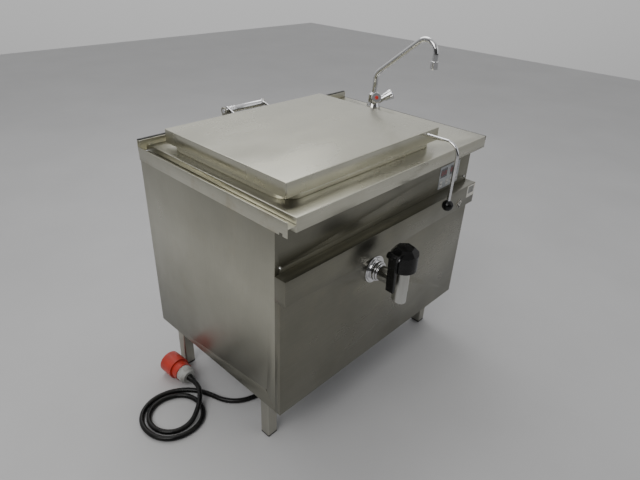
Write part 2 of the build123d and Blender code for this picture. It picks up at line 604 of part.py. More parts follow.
# ---------------------------------------------------------------- drain cock
VALVE_AY = -358.0
FLANGE_R1, FLANGE_T1 = 48.0, 6.0
FLANGE_R2, FLANGE_T2 = 43.0, 5.0
RING_NUT_R, NUT_T = 34.0, 14.0
COLLAR_R, COLLAR_T = 30.0, 8.0
BODY_R, BODY_LOW, BODY_TOP = 25.0, 537.0, 618.0
SPIGOT_R, SPIGOT_Y = 24.9, -330.0
COCK_R = 19.0
COCK_GAP = 0.05
COCK_LOW = 545.0
PORT_R = 14.0
STEM_R = 10.0
STEM_TOP = 668.0
CAP_R = 44.0
CAP_LOW, CAP_SHOULDER, CAP_TOP = 620.0, 675.0, 696.0
CROWN_FLATS, CROWN_TURN, CROWN_TAPER = 6, 16.0, 40.0
CROWN_APOTHEM = 43.0
OUTLET_R, OUTLET_T = 24.2, 2.4
OUTLET_LOW = 495.5
OUTLET_CUT = 14.0
Y_WALL = LOWER_Y
Y_STEP = Y_WALL - FLANGE_T1
Y_NUT = Y_STEP - FLANGE_T2
Y_COLLAR = Y_NUT - NUT_T

with BuildPart() as drain_pipe:
    with BuildSketch(Plane.XZ.offset(-PAN_FRONT_Y)):
        with Locations((DRAIN_X, DRAIN_Z)):
            Circle(DRAIN_PIPE_R)
            Circle(DRAIN_BORE_R, mode=Mode.SUBTRACT)
    extrude(amount=-(SPIGOT_Y - PAN_FRONT_Y))
save(drain_pipe.part, "drain_pipe")

with BuildPart() as wall_flange:
    with BuildSketch(Plane.XZ.offset(-Y_WALL)):
        with Locations((DRAIN_X, DRAIN_Z)):
            Circle(FLANGE_R1)
    extrude(amount=FLANGE_T1)
    with BuildSketch(Plane.XZ.offset(-Y_STEP)):
        with Locations((DRAIN_X, DRAIN_Z)):
            Circle(FLANGE_R2)
    extrude(amount=FLANGE_T2)
    fillet(wall_flange.edges().filter_by(GeomType.CIRCLE).group_by(Axis.Y)[0], radius=1.5)
    with BuildSketch(Plane.XZ.offset(-Y_WALL)):
        with Locations((DRAIN_X, DRAIN_Z)):
            Circle(DRAIN_PIPE_R)
    extrude(amount=FLANGE_T1 + FLANGE_T2, mode=Mode.SUBTRACT)
save(wall_flange.part, "wall_flange")

with BuildPart() as drain_nut:
    with BuildSketch(Plane.XZ.offset(-Y_NUT)):
        with Locations((DRAIN_X, DRAIN_Z)):
            Circle(RING_NUT_R)
    extrude(amount=NUT_T)
    with BuildSketch(Plane.XZ.offset(-Y_COLLAR)):
        with Locations((DRAIN_X, DRAIN_Z)):
            Circle(COLLAR_R)
    extrude(amount=COLLAR_T)
    with BuildSketch(Plane.XZ.offset(-Y_NUT)):
        with Locations((DRAIN_X, DRAIN_Z)):
            Circle(DRAIN_PIPE_R)
    extrude(amount=NUT_T + COLLAR_T, mode=Mode.SUBTRACT)
    COLLAR_EDGES = drain_nut.edges().filter_by(GeomType.CIRCLE).group_by(Axis.Y)[0]
    chamfer(COLLAR_EDGES.sort_by(SortBy.RADIUS)[-1], length=1.5)
save(drain_nut.part, "drain_nut")

with BuildPart() as valve_body:
    with BuildSketch(Plane.XY.offset(BODY_LOW)):
        with Locations((DRAIN_X, VALVE_AY)):
            Circle(BODY_R)
    extrude(amount=BODY_TOP - BODY_LOW)
    with BuildSketch(Plane.XZ.offset(-VALVE_AY)):
        with Locations((DRAIN_X, DRAIN_Z)):
            Circle(SPIGOT_R)
    extrude(amount=-(SPIGOT_Y - VALVE_AY))
    with BuildSketch(Plane.XZ.offset(-VALVE_AY)):
        with Locations((DRAIN_X, DRAIN_Z)):
            Circle(PORT_R)
    extrude(amount=-(SPIGOT_Y - VALVE_AY), mode=Mode.SUBTRACT)
    with BuildSketch(Plane.XY.offset(COCK_LOW)):
        with Locations((DRAIN_X, VALVE_AY)):
            Circle(COCK_R + COCK_GAP)
    extrude(amount=BODY_TOP - COCK_LOW, mode=Mode.SUBTRACT)
    with BuildSketch(Plane.XY.offset(BODY_LOW)):
        with Locations((DRAIN_X, VALVE_AY)):
            Circle(PORT_R)
    extrude(amount=COCK_LOW - BODY_LOW, mode=Mode.SUBTRACT)
save(valve_body.part, "valve_body")

# The cock turns in the body: a bore from below meets a side port that faces +X when shut.
with BuildPart() as valve_plug:
    with BuildSketch(Plane.XY.offset(COCK_LOW + COCK_GAP)):
        with Locations((DRAIN_X, VALVE_AY)):
            Circle(COCK_R)
    extrude(amount=BODY_TOP - COCK_LOW - COCK_GAP)
    with BuildSketch(Plane.XY.offset(BODY_TOP)):
        with Locations((DRAIN_X, VALVE_AY)):
            Circle(STEM_R)
    extrude(amount=STEM_TOP - BODY_TOP)
    with BuildSketch(Plane.XY.offset(COCK_LOW + COCK_GAP)):
        with Locations((DRAIN_X, VALVE_AY)):
            Circle(PORT_R)
    extrude(amount=DRAIN_Z - COCK_LOW, mode=Mode.SUBTRACT)
    with BuildSketch(Plane.YZ.offset(DRAIN_X)):
        with Locations((VALVE_AY, DRAIN_Z)):
            Circle(PORT_R)
    extrude(amount=COCK_R + 1.0, mode=Mode.SUBTRACT)
save(valve_plug.part, "valve_plug")

with BuildPart() as outlet_tube:
    with BuildSketch(Plane.XY.offset(OUTLET_LOW)):
        with Locations((DRAIN_X, VALVE_AY)):
            Circle(OUTLET_R)
            Circle(OUTLET_R - OUTLET_T, mode=Mode.SUBTRACT)
    extrude(amount=BODY_LOW - OUTLET_LOW)
    # The end is cut on a slant, longer at the front.
    with BuildSketch(Plane.YZ.offset(DRAIN_X - OUTLET_R - 1.0)):
        with BuildLine():
            Polyline(
                (VALVE_AY - OUTLET_R, OUTLET_LOW),
                (VALVE_AY + OUTLET_R + 1.0, OUTLET_LOW + OUTLET_CUT),
                (VALVE_AY + OUTLET_R + 1.0, OUTLET_LOW - 1.0),
                (VALVE_AY - OUTLET_R, OUTLET_LOW - 1.0),
                close=True,
            )
        make_face()
    extrude(amount=2 * OUTLET_R + 2.0, mode=Mode.SUBTRACT)
save(outlet_tube.part, "outlet_tube")

# Handle cap and its lever. The lever hangs from a pin at the cap's side; "out" is its direction.
LEVER_AZ = 176.0
OUT_X, OUT_Y = math.cos(math.radians(LEVER_AZ)), math.sin(math.radians(LEVER_AZ))
PIN_OUT, PIN_Z, PIN_R = 54.5, 681.0, 3.0
PIN_LEN = 46.0
LEVER_W = 28.0
CHEEK_W = 5.0
CHEEK_GAP = 0.5
LUG_R = 11.0
HUB_R = 9.5
LEVER_LOW = 554.0
LEVER_IN, LEVER_OUT = 46.0, 60.0
# Plane through the cap's axis whose x runs outward along the lever and whose y is up
LEVER_PLANE = Plane(origin=(DRAIN_X, VALVE_AY, 0), x_dir=(OUT_X, OUT_Y, 0), z_dir=(OUT_Y, -OUT_X, 0))

with BuildPart() as valve_cap:
    # The crown narrows upward in flats, cut from a round bar.
    with BuildSketch(Plane.XY.offset(CAP_SHOULDER)):
        with Locations((DRAIN_X, VALVE_AY)):
            RegularPolygon(CROWN_APOTHEM, CROWN_FLATS, major_radius=False, rotation=CROWN_TURN)
    extrude(amount=CAP_TOP - CAP_SHOULDER, taper=CROWN_TAPER)
    with BuildSketch(Plane.XY.offset(CAP_SHOULDER)):
        with Locations((DRAIN_X, VALVE_AY)):
            Circle(CAP_R)
    extrude(amount=CAP_TOP - CAP_SHOULDER, mode=Mode.INTERSECT)
    with BuildSketch(Plane.XY.offset(CAP_LOW)):
        with Locations((DRAIN_X, VALVE_AY)):
            Circle(CAP_R)
    extrude(amount=CAP_SHOULDER - CAP_LOW)
    fillet(valve_cap.edges().filter_by(GeomType.CIRCLE).group_by(Axis.Z)[0], radius=2.0)
    # Two cheeks carry the lever's pin on either side of the lever.
    for cheek_side in (-1, 1):
        CHEEK_OFF = cheek_side * (LEVER_W / 2 + CHEEK_GAP + CHEEK_W / 2)
        with BuildSketch(LEVER_PLANE.offset(CHEEK_OFF - CHEEK_W / 2)):
            with Locations((PIN_OUT, PIN_Z)):
                Circle(LUG_R)
            with Locations(((PIN_OUT + 20.0) / 2, PIN_Z - 1.0)):
                Rectangle(PIN_OUT - 20.0, 2 * LUG_R - 2.0)
            with Locations((PIN_OUT, PIN_Z)):
                Circle(PIN_R, mode=Mode.SUBTRACT)
        extrude(amount=CHEEK_W)
    with BuildSketch(Plane.XY.offset(CAP_LOW)):
        with Locations((DRAIN_X, VALVE_AY)):
            Circle(STEM_R)
    extrude(amount=STEM_TOP - CAP_LOW, mode=Mode.SUBTRACT)
save(valve_cap.part, "valve_cap")

with BuildPart() as lever_pin:
    with BuildSketch(LEVER_PLANE.offset(-PIN_LEN / 2)):
        with Locations((PIN_OUT, PIN_Z)):
            Circle(PIN_R)
    extrude(amount=PIN_LEN)
save(lever_pin.part, "lever_pin")

with BuildPart() as drain_lever:
    with BuildSketch(LEVER_PLANE.offset(-LEVER_W / 2)):
        with BuildLine():
            Polyline(
                (LEVER_IN, LEVER_LOW + 2.0),
                (LEVER_IN, PIN_Z - 16.0),
                (PIN_OUT - HUB_R + 2.0, PIN_Z),
                (PIN_OUT + HUB_R, PIN_Z),
                (LEVER_OUT, PIN_Z - 16.0),
                (LEVER_OUT - 3.0, LEVER_LOW),
                (LEVER_IN + 3.0, LEVER_LOW),
                close=True,
            )
        make_face()
        with Locations((PIN_OUT, PIN_Z)):
            Circle(HUB_R)
    extrude(amount=LEVER_W)
    fillet(drain_lever.faces().sort_by(Axis.Z)[0].edges(), radius=1.8)
    with BuildSketch(LEVER_PLANE.offset(-LEVER_W / 2)):
        with Locations((PIN_OUT, PIN_Z)):
            Circle(PIN_R + COCK_GAP)
    extrude(amount=LEVER_W, mode=Mode.SUBTRACT)
save(drain_lever.part, "drain_lever")

# ---------------------------------------------------------------- lid
LID_LOW, LID_TOP = 918.0, 963.0
LID_FRONT = LID_Y - LID_D / 2
LID_REAR = LID_Y + LID_D / 2
LID_CORNER = 3.0
LID_EDGE = 2.0
HINGE_Y, HINGE_Z = 407.0, 960.0
with BuildPart() as lid_shell:
    with BuildSketch(Plane.XY.offset(LID_LOW)):
        with Locations((LID_X, LID_Y)):
            RectangleRounded(LID_W, LID_D, LID_CORNER)
    extrude(amount=LID_TOP - LID_LOW)
    fillet(lid_shell.faces().sort_by(Axis.Z)[-1].edges(), radius=LID_EDGE)
    with BuildSketch(Plane.XY.offset(LID_LOW)):
        with Locations((LID_X, LID_Y)):
            Rectangle(LID_W - 2 * SHEET, LID_D - 2 * SHEET)
    extrude(amount=LID_TOP - LID_LOW - SHEET, mode=Mode.SUBTRACT)
save(lid_shell.part, "lid_shell")

# Inner pressing: closes the shell from below and carries the gasket in a groove
LINER_Z = 919.0
GROOVE_W, GROOVE_H = 12.0, 5.0
GASKET_W = 676.0
GASKET_D = 528.0
GASKET_R = 66.0
with BuildPart() as lid_liner:
    with BuildSketch(Plane.XY.offset(LINER_Z)):
        with Locations((LID_X, LID_Y)):
            Rectangle(LID_W - 2 * SHEET, LID_D - 2 * SHEET)
    extrude(amount=GROOVE_H + SHEET)
    with BuildSketch(Plane.XY.offset(LINER_Z + SHEET)):
        with Locations((LID_X, LID_Y)):
            Rectangle(LID_W - 4 * SHEET, LID_D - 4 * SHEET)
            RectangleRounded(GASKET_W + 2 * SHEET, GASKET_D + 2 * SHEET, GASKET_R + SHEET, mode=Mode.SUBTRACT)
    extrude(amount=GROOVE_H, mode=Mode.SUBTRACT)
    with BuildSketch(Plane.XY.offset(LINER_Z + SHEET)):
        with Locations((LID_X, LID_Y)):
            RectangleRounded(
                GASKET_W - 2 * GROOVE_W - 2 * SHEET,
                GASKET_D - 2 * GROOVE_W - 2 * SHEET,
                GASKET_R - GROOVE_W - SHEET,
            )
    extrude(amount=GROOVE_H, mode=Mode.SUBTRACT)
    with BuildSketch(Plane.XY.offset(LINER_Z)):
        with Locations((LID_X, LID_Y)):
            RectangleRounded(GASKET_W, GASKET_D, GASKET_R)
            RectangleRounded(
                GASKET_W - 2 * GROOVE_W, GASKET_D - 2 * GROOVE_W, GASKET_R - GROOVE_W, mode=Mode.SUBTRACT
            )
    extrude(amount=GROOVE_H, mode=Mode.SUBTRACT)
save(lid_liner.part, "lid_liner")

# Gasket: sits in the liner's groove and on top of the pan rim
GASKET_SIDE = 0.5
with BuildPart() as lid_gasket:
    with BuildSketch(Plane.XY.offset(RIM_TOP + 0.1)):
        with Locations((LID_X, LID_Y)):
            RectangleRounded(GASKET_W - 2 * GASKET_SIDE, GASKET_D - 2 * GASKET_SIDE, GASKET_R - GASKET_SIDE)
            RectangleRounded(
                GASKET_W - 2 * GROOVE_W + 2 * GASKET_SIDE,
                GASKET_D - 2 * GROOVE_W + 2 * GASKET_SIDE,
                GASKET_R - GROOVE_W + GASKET_SIDE,
                mode=Mode.SUBTRACT,
            )
    extrude(amount=LINER_Z + GROOVE_H - RIM_TOP - 0.1)
save(lid_gasket.part, "lid_gasket")

# Front lever: a bent rod from the lid's front face with a ball at its lower end
ROD_X = 202.0
LIFT_ROD_R = 6.0
ROD_TOP_Z = 951.0
ROD_BEND_R = 45.0
ROD_DOWN_Y = -328.0
BALL_R, BALL_Z = 19.5, 733.0
with BuildPart() as lid_lever_rod:
    with BuildLine(Plane.YZ.offset(ROD_X)) as rod_path:
        FilletPolyline(
            (LID_FRONT, ROD_TOP_Z),
            (ROD_DOWN_Y, ROD_TOP_Z),
            (ROD_DOWN_Y + 4.0, BALL_Z),
            radius=ROD_BEND_R,
        )
    with BuildSketch(Plane(origin=rod_path.line @ 0, z_dir=rod_path.line % 0)):
        Circle(LIFT_ROD_R)
    sweep(path=rod_path.line)
save(lid_lever_rod.part, "lid_lever_rod")

with BuildPart() as ball_knob:
    with Locations((ROD_X, ROD_DOWN_Y + 4.0, BALL_Z)):
        Sphere(BALL_R)
    add(lid_lever_rod.part, mode=Mode.SUBTRACT)
save(ball_knob.part, "ball_knob")

# ---------------------------------------------------------------- rear hinge
AXLE_R = 8.5
AXLE_X0, AXLE_X1 = -173.0, 14.0
AXLE_GAP = 0.05
ARM_T = 6.0
ARM_X = (-160.0, 1.0)
BRACKET_X = (-173.0, 9.0)
BRACKET_T = 5.0
ARM_HUB_R = 15.0

with BuildPart() as hinge_axle:
    with BuildSketch(Plane.YZ.offset(AXLE_X0)):
        with Locations((HINGE_Y, HINGE_Z)):
            Circle(AXLE_R)
    extrude(amount=AXLE_X1 - AXLE_X0)
    chamfer(hinge_axle.edges().filter_by(GeomType.CIRCLE), length=0.8)
save(hinge_axle.part, "hinge_axle")

# Brackets stand on the worktop in front of the upstand and hold the axle's ends.
with BuildPart() as hinge_brackets:
    for bracket_x in BRACKET_X:
        with BuildSketch(Plane.YZ.offset(bracket_x)):
            with BuildLine():
                Polyline(
                    (HINGE_Y - 26.0, TOP_Z),
                    (HINGE_Y - 13.0, HINGE_Z),
                    (HINGE_Y + 9.0, HINGE_Z),
                    (HINGE_Y + 9.0, TOP_Z),
                    close=True,
                )
            make_face()
            with Locations((HINGE_Y, HINGE_Z)):
                Circle(13.5)
            with Locations((HINGE_Y, HINGE_Z)):
                Circle(AXLE_R, mode=Mode.SUBTRACT)
        extrude(amount=BRACKET_T)
        # Foot flange, with two screw heads
        with Locations((bracket_x + BRACKET_T / 2, HINGE_Y - 20.0, TOP_Z + 1.5)):
            Box(BRACKET_T + 22.0, 28.0, 3.0)
        with Locations(
            (bracket_x + BRACKET_T / 2 - 9.0, HINGE_Y - 28.0, TOP_Z + 4.5),
            (bracket_x + BRACKET_T / 2 + 9.0, HINGE_Y - 28.0, TOP_Z + 4.5),
        ):
            Cylinder(radius=3.2, height=3.0)
    with BuildSketch(Plane.YZ.offset(BRACKET_X[0] - 20.0)):
        with Locations((UP_Y0 + 10.0, TOP_Z + 11.0)):
            Rectangle(20.0, 26.0)
    extrude(amount=BRACKET_X[1] - BRACKET_X[0] + 40.0, mode=Mode.SUBTRACT)
save(hinge_brackets.part, "hinge_brackets")

# Two arms turn on the axle and are fixed to the lid's rear face; a sleeve joins them.
SLEEVE_R = 12.0
RING_R = 13.6
RING_X = (-140.0, -128.0)
with BuildPart() as hinge_arms:
    for arm_x in ARM_X:
        with BuildSketch(Plane.YZ.offset(arm_x)):
            with Locations((HINGE_Y, HINGE_Z)):
                Circle(ARM_HUB_R)
            with BuildLine():
                Polyline(
                    (LID_REAR + 3.0, LID_TOP - 3.0),
                    (HINGE_Y, HINGE_Z + ARM_HUB_R),
                    (HINGE_Y, HINGE_Z - ARM_HUB_R),
                    (LID_REAR + 3.0, LID_LOW + 8.0),
                    close=True,
                )
            make_face()
        extrude(amount=ARM_T)
    with BuildSketch(Plane.YZ.offset(ARM_X[0] + ARM_T)):
        with Locations((HINGE_Y, HINGE_Z)):
            Circle(SLEEVE_R)
    extrude(amount=ARM_X[1] - ARM_X[0] - ARM_T)
    for ring_x in RING_X:
        with BuildSketch(Plane.YZ.offset(ring_x)):
            with Locations((HINGE_Y, HINGE_Z)):
                Circle(RING_R)
        extrude(amount=5.0)
    # Mounting plate against the lid's rear face
    with Locations(((ARM_X[0] + ARM_X[1] + ARM_T) / 2, LID_REAR + 1.5, (LID_TOP + LID_LOW) / 2)):
        Box(ARM_X[1] - ARM_X[0] + ARM_T + 20.0, 3.0, LID_TOP - LID_LOW - 12.0)
    with BuildSketch(Plane.YZ.offset(ARM_X[0] - 1.0)):
        with Locations((HINGE_Y, HINGE_Z)):
            Circle(AXLE_R + AXLE_GAP)
    extrude(amount=ARM_X[1] - ARM_X[0] + ARM_T + 2.0, mode=Mode.SUBTRACT)
save(hinge_arms.part, "hinge_arms")

# ---------------------------------------------------------------- mixer tap
TAP_BASE_R, TAP_NECK_R = 29.0, 22.0
TAP_CONE_Z, TAP_NECK_Z = 908.0, 963.0
SPOUT_R, SPOUT_BORE = 11.0, 9.0
SOCKET_R, SOCKET_DEPTH = SPOUT_R + 0.05, 22.0
KNOB_AZ = {"tap_knob_hot": -135.0, "tap_knob_cold": -45.0}
KNOB_TILT = 29.0
KNOB_Z = 918.0
KNOB_IN, KNOB_OUT = 40.0, 86.0
SPINDLE_R = 6.0

with BuildPart() as tap_body:
    with BuildSketch(Plane.XZ.offset(-TAP_Y)):
        with BuildLine():
            Polyline(
                (TAP_X, TOP_Z),
                (TAP_X + TAP_BASE_R, TOP_Z),
                (TAP_X + TAP_BASE_R, TAP_CONE_Z),
                (TAP_X + TAP_NECK_R + 2.0, TAP_CONE_Z + 16.0),
                (TAP_X + TAP_NECK_R, TAP_NECK_Z - 8.0),
                (TAP_X + 14.5, TAP_NECK_Z),
                (TAP_X, TAP_NECK_Z),
                close=True,
            )
        make_face()
    revolve(axis=Axis((TAP_X, TAP_Y, 0), (0, 0, 1)))
    # Valve barrels and spindles for the two knobs
    for knob_az in KNOB_AZ.values():
        AZ, TILT = math.radians(knob_az), math.radians(KNOB_TILT)
        KNOB_DIR = (math.cos(AZ) * math.cos(TILT), math.sin(AZ) * math.cos(TILT), math.sin(TILT))
        with BuildSketch(Plane(origin=(TAP_X, TAP_Y, KNOB_Z), z_dir=KNOB_DIR)):
            Circle(13.0)
        extrude(amount=KNOB_IN - 1.0)
        with BuildSketch(Plane(origin=(TAP_X, TAP_Y, KNOB_Z), z_dir=KNOB_DIR)):
            Circle(SPINDLE_R)
        extrude(amount=KNOB_OUT - 10.0)
    # Nothing of the barrels may reach below the worktop.
    with Locations((TAP_X, TAP_Y, TOP_Z - 20.0)):
        Box(120.0, 120.0, 40.0, mode=Mode.SUBTRACT)
    # Threaded tail through the worktop, and its nut
    with BuildSketch(Plane.XY.offset(TOP_Z)):
        with Locations((TAP_X, TAP_Y)):
            Circle(TAP_HOLE_R)
    extrude(amount=-40.0)
    with BuildSketch(Plane.XY.offset(TOP_Z - SHEET)):
        with Locations((TAP_X, TAP_Y)):
            RegularPolygon(22.0, 6, major_radius=False)
    extrude(amount=-12.0)
    with BuildSketch(Plane.XY.offset(TAP_NECK_Z)):
        with Locations((TAP_X, TAP_Y)):
            Circle(SOCKET_R)
    extrude(amount=-SOCKET_DEPTH, mode=Mode.SUBTRACT)
save(tap_body.part, "tap_body")

for knob_name, knob_az in KNOB_AZ.items():
    AZ, TILT = math.radians(knob_az), math.radians(KNOB_TILT)
    KNOB_DIR = (math.cos(AZ) * math.cos(TILT), math.sin(AZ) * math.cos(TILT), math.sin(TILT))
    KNOB_PLANE = Plane(origin=(TAP_X, TAP_Y, KNOB_Z), z_dir=KNOB_DIR)
    with BuildPart() as knob:
        with BuildSketch(KNOB_PLANE.offset(KNOB_IN)):
            Circle(14.0)
        extrude(amount=9.0)
        with BuildSketch(KNOB_PLANE.offset(KNOB_IN + 9.0)):
            Circle(17.0)
        with BuildSketch(KNOB_PLANE.offset(KNOB_OUT - 4.0)):
            Circle(21.0)
        loft()
        with BuildSketch(KNOB_PLANE.offset(KNOB_OUT - 4.0)):
            Circle(21.0)
        extrude(amount=4.0, taper=35)
        # Finger flutes
        with BuildSketch(KNOB_PLANE.offset(KNOB_IN + 12.0)):
            with PolarLocations(23.5, 8):
                Circle(4.5)
        extrude(amount=KNOB_OUT, mode=Mode.SUBTRACT)
        with BuildSketch(KNOB_PLANE.offset(KNOB_IN - 1.0)):
            Circle(SPINDLE_R + AXLE_GAP)
        extrude(amount=KNOB_OUT - KNOB_IN - 8.5, mode=Mode.SUBTRACT)
    save(knob.part, knob_name)

# Spout: riser, sloping run and gooseneck, all in the plane X = TAP_X, pointing to the front
RISER_TOP = 1036.5
SPOUT_REACH = 264.0
NECK_R = 46.0
NOZZLE_TOP, NOZZLE_END = 1129.0, 1099.0
SLOPE = 0.8
RISER_BEND_R = 42.0
NECK_Y = TAP_Y - SPOUT_REACH
# Where the sloping run would meet the nozzle's upright line; the gooseneck's arc rounds this corner.
NECK_CORNER_Z = RISER_TOP + SLOPE * SPOUT_REACH
with BuildPart() as spout:
    with BuildLine(Plane.YZ.offset(TAP_X)) as spout_path:
        FilletPolyline(
            (TAP_Y, TAP_NECK_Z - SOCKET_DEPTH + 2.0),
            (TAP_Y, RISER_TOP),
            (NECK_Y, NECK_CORNER_Z),
            (NECK_Y, NOZZLE_TOP - 4.0),
            radius=[RISER_BEND_R, NECK_R],
        )
    with BuildSketch(Plane(origin=spout_path.line @ 0, z_dir=spout_path.line % 0)):
        Circle(SPOUT_R)
        Circle(SPOUT_BORE, mode=Mode.SUBTRACT)
    sweep(path=spout_path.line)
save(spout.part, "spout")

with BuildPart() as aerator:
    with BuildSketch(Plane.XY.offset(NOZZLE_END)):
        with Locations((TAP_X, NECK_Y)):
            Circle(14.5)
            Circle(9.0, mode=Mode.SUBTRACT)
    extrude(amount=NOZZLE_TOP - NOZZLE_END)
    AERATOR_TOP = aerator.edges().filter_by(GeomType.CIRCLE).group_by(Axis.Z)[-1]
    fillet(AERATOR_TOP.sort_by(SortBy.LENGTH)[-1], radius=3.0)
    AERATOR_END = aerator.edges().filter_by(GeomType.CIRCLE).group_by(Axis.Z)[0]
    chamfer(AERATOR_END.sort_by(SortBy.LENGTH)[-1], length=1.5)
    with BuildSketch(Plane.XY.offset(NOZZLE_TOP - 4.0)):
        with Locations((TAP_X, NECK_Y)):
            Circle(SPOUT_R)
    extrude(amount=5.0, mode=Mode.SUBTRACT)
save(aerator.part, "aerator")

# ---------------------------------------------------------------- cord, gland and plug
CORD_R = 9.0
CORD_START_Z = 150.0
# The gland from below: tapered mouth, round cap, hexagon under the floor, threaded neck, hexagon nut above
MOUTH_R, MOUTH_H, MOUTH_TAPER = 15.0, 12.0, -12
GLAND_CAP_R, GLAND_CAP_H = 19.0, 20.0
GLAND_HEX_R, GLAND_NUT_H = 18.0, 6.0
GLAND_CAP_Z = CORD_START_Z + MOUTH_H
GLAND_HEX_Z = GLAND_CAP_Z + GLAND_CAP_H
with BuildPart() as cable_gland:
    with BuildSketch(Plane.XY.offset(CORD_START_Z)):
        with Locations((GLAND_X, GLAND_Y)):
            Circle(MOUTH_R)
    extrude(amount=MOUTH_H, taper=MOUTH_TAPER)
    with BuildSketch(Plane.XY.offset(GLAND_CAP_Z)):
        with Locations((GLAND_X, GLAND_Y)):
            Circle(GLAND_CAP_R)
    extrude(amount=GLAND_CAP_H)
    with BuildSketch(Plane.XY.offset(GLAND_HEX_Z)):
        with Locations((GLAND_X, GLAND_Y)):
            RegularPolygon(GLAND_HEX_R, 6, major_radius=False)
    extrude(amount=CAB_LOW - GLAND_HEX_Z)
    with BuildSketch(Plane.XY.offset(CAB_LOW)):
        with Locations((GLAND_X, GLAND_Y)):
            Circle(GLAND_R)
    extrude(amount=SHEET)
    with BuildSketch(Plane.XY.offset(CAB_LOW + SHEET)):
        with Locations((GLAND_X, GLAND_Y)):
            RegularPolygon(GLAND_HEX_R, 6, major_radius=False)
    extrude(amount=GLAND_NUT_H)
save(cable_gland.part, "cable_gland")

# Plug: lies on the floor, its axis running away to the rear
PLUG_Z = 42.0
PLUG_AZ = math.radians(92.0)
PLUG_DIR = (math.cos(PLUG_AZ), math.sin(PLUG_AZ))
PLUG_START = (-528.0, 232.0)
PLUG_PLANE = Plane(
    origin=(PLUG_START[0], PLUG_START[1], PLUG_Z),
    x_dir=(PLUG_DIR[1], -PLUG_DIR[0], 0),
    z_dir=(PLUG_DIR[0], PLUG_DIR[1], 0),
)
NUT_LEN, NUT_R = 36.0, 32.0
NUT_CONE_LEN, NUT_MOUTH_R = 12.0, 25.0
GRIP_COUNT, GRIP_R, GRIP_OUT = 14, 2.4, 1.2
BASE_LEN, BASE_R = 30.0, 35.0
SHROUD_LEN, SHROUD_R, SHROUD_T = 62.0, 42.0, 4.0
SHROUD_FLOOR_T = 6.0
RIB_W, RIB_H, RIB_SHORT = 8.0, 4.0, 8.0
SHROUD_START = NUT_LEN + BASE_LEN
with BuildPart() as plug_nut:
    with BuildSketch(PLUG_PLANE):
        Circle(NUT_MOUTH_R)
    with BuildSketch(PLUG_PLANE.offset(NUT_CONE_LEN)):
        Circle(NUT_R)
    loft()
    with BuildSketch(PLUG_PLANE.offset(NUT_CONE_LEN)):
        Circle(NUT_R)
    extrude(amount=NUT_LEN - NUT_CONE_LEN)
    with BuildSketch(PLUG_PLANE.offset(NUT_CONE_LEN)):
        with PolarLocations(NUT_R + GRIP_OUT, GRIP_COUNT):
            Circle(GRIP_R)
    extrude(amount=NUT_LEN, mode=Mode.SUBTRACT)
save(plug_nut.part, "plug_nut")

with BuildPart() as plug_body:
    with BuildSketch(PLUG_PLANE.offset(NUT_LEN)):
        Circle(BASE_R)
    extrude(amount=BASE_LEN)
    with BuildSketch(PLUG_PLANE.offset(SHROUD_START)):
        Circle(SHROUD_R)
    extrude(amount=SHROUD_LEN)
    with BuildSketch(PLUG_PLANE.offset(SHROUD_START + SHROUD_LEN)):
        Circle(SHROUD_R - SHROUD_T)
    extrude(amount=-(SHROUD_LEN - SHROUD_FLOOR_T), mode=Mode.SUBTRACT)
    # Key rib inside the shroud
    with BuildSketch(PLUG_PLANE.offset(SHROUD_START + SHROUD_FLOOR_T)):
        with Locations((0, -(SHROUD_R - SHROUD_T - RIB_H / 2 + 0.5))):
            Rectangle(RIB_W, RIB_H)
    extrude(amount=SHROUD_LEN - RIB_SHORT)
save(plug_body.part, "plug_body")

PIN_CIRCLE_R = 17.0
CONTACT_R, CONTACT_LEN, CONTACT_COUNT = 3.0, 44.0, 5
with BuildPart() as plug_pins:
    with BuildSketch(PLUG_PLANE.offset(SHROUD_START + SHROUD_FLOOR_T)):
        with PolarLocations(PIN_CIRCLE_R, CONTACT_COUNT):
            Circle(CONTACT_R)
    extrude(amount=CONTACT_LEN)
save(plug_pins.part, "plug_pins")

# Centre line of the cord: hand-chosen corner points, rounded by tangent arcs.
# The last run lies on the plug's axis.
PLUG_RUN = 54.0
CORD_POINTS = [
    (GLAND_X, GLAND_Y, CORD_START_Z),
    (-215.0, 0.0, 69.0),
    (-274.0, 0.0, 9.0),
    (-345.0, 1.0, 9.0),
    (-405.0, 11.0, 9.0),
    (-456.0, 36.0, 9.0),
    (-490.0, 80.0, 9.0),
    (-505.0, 132.0, 9.0),
    (-527.0, 180.0, 9.0),
    (-562.0, 220.0, 9.0),
    (-610.0, 250.0, 9.0),
    (-665.0, 259.0, 9.0),
    (-718.0, 242.0, 9.0),
    (-755.0, 200.0, 9.0),
    (-764.0, 145.0, 9.0),
    (-749.0, 90.0, 9.0),
    (-710.0, 52.0, 9.0),
    (-652.0, 38.0, 9.0),
    (-596.0, 54.0, 9.0),
    (-562.0, 98.0, 9.0),
    (-557.0, 153.0, 9.0),
    (-579.0, 203.0, 9.0),
    (-630.0, 233.0, 9.0),
    (-690.0, 232.0, 9.0),
    (-736.0, 189.0, 9.0),
    (-738.0, 124.0, 9.0),
    (-698.0, 74.0, 9.0),
    (-634.0, 67.0, 11.0),
    (-581.0, 96.0, 33.0),
    (-546.0, 136.0, 40.0),
    (PLUG_START[0] - PLUG_RUN * PLUG_DIR[0], PLUG_START[1] - PLUG_RUN * PLUG_DIR[1], PLUG_Z),
    (PLUG_START[0], PLUG_START[1], PLUG_Z),
]


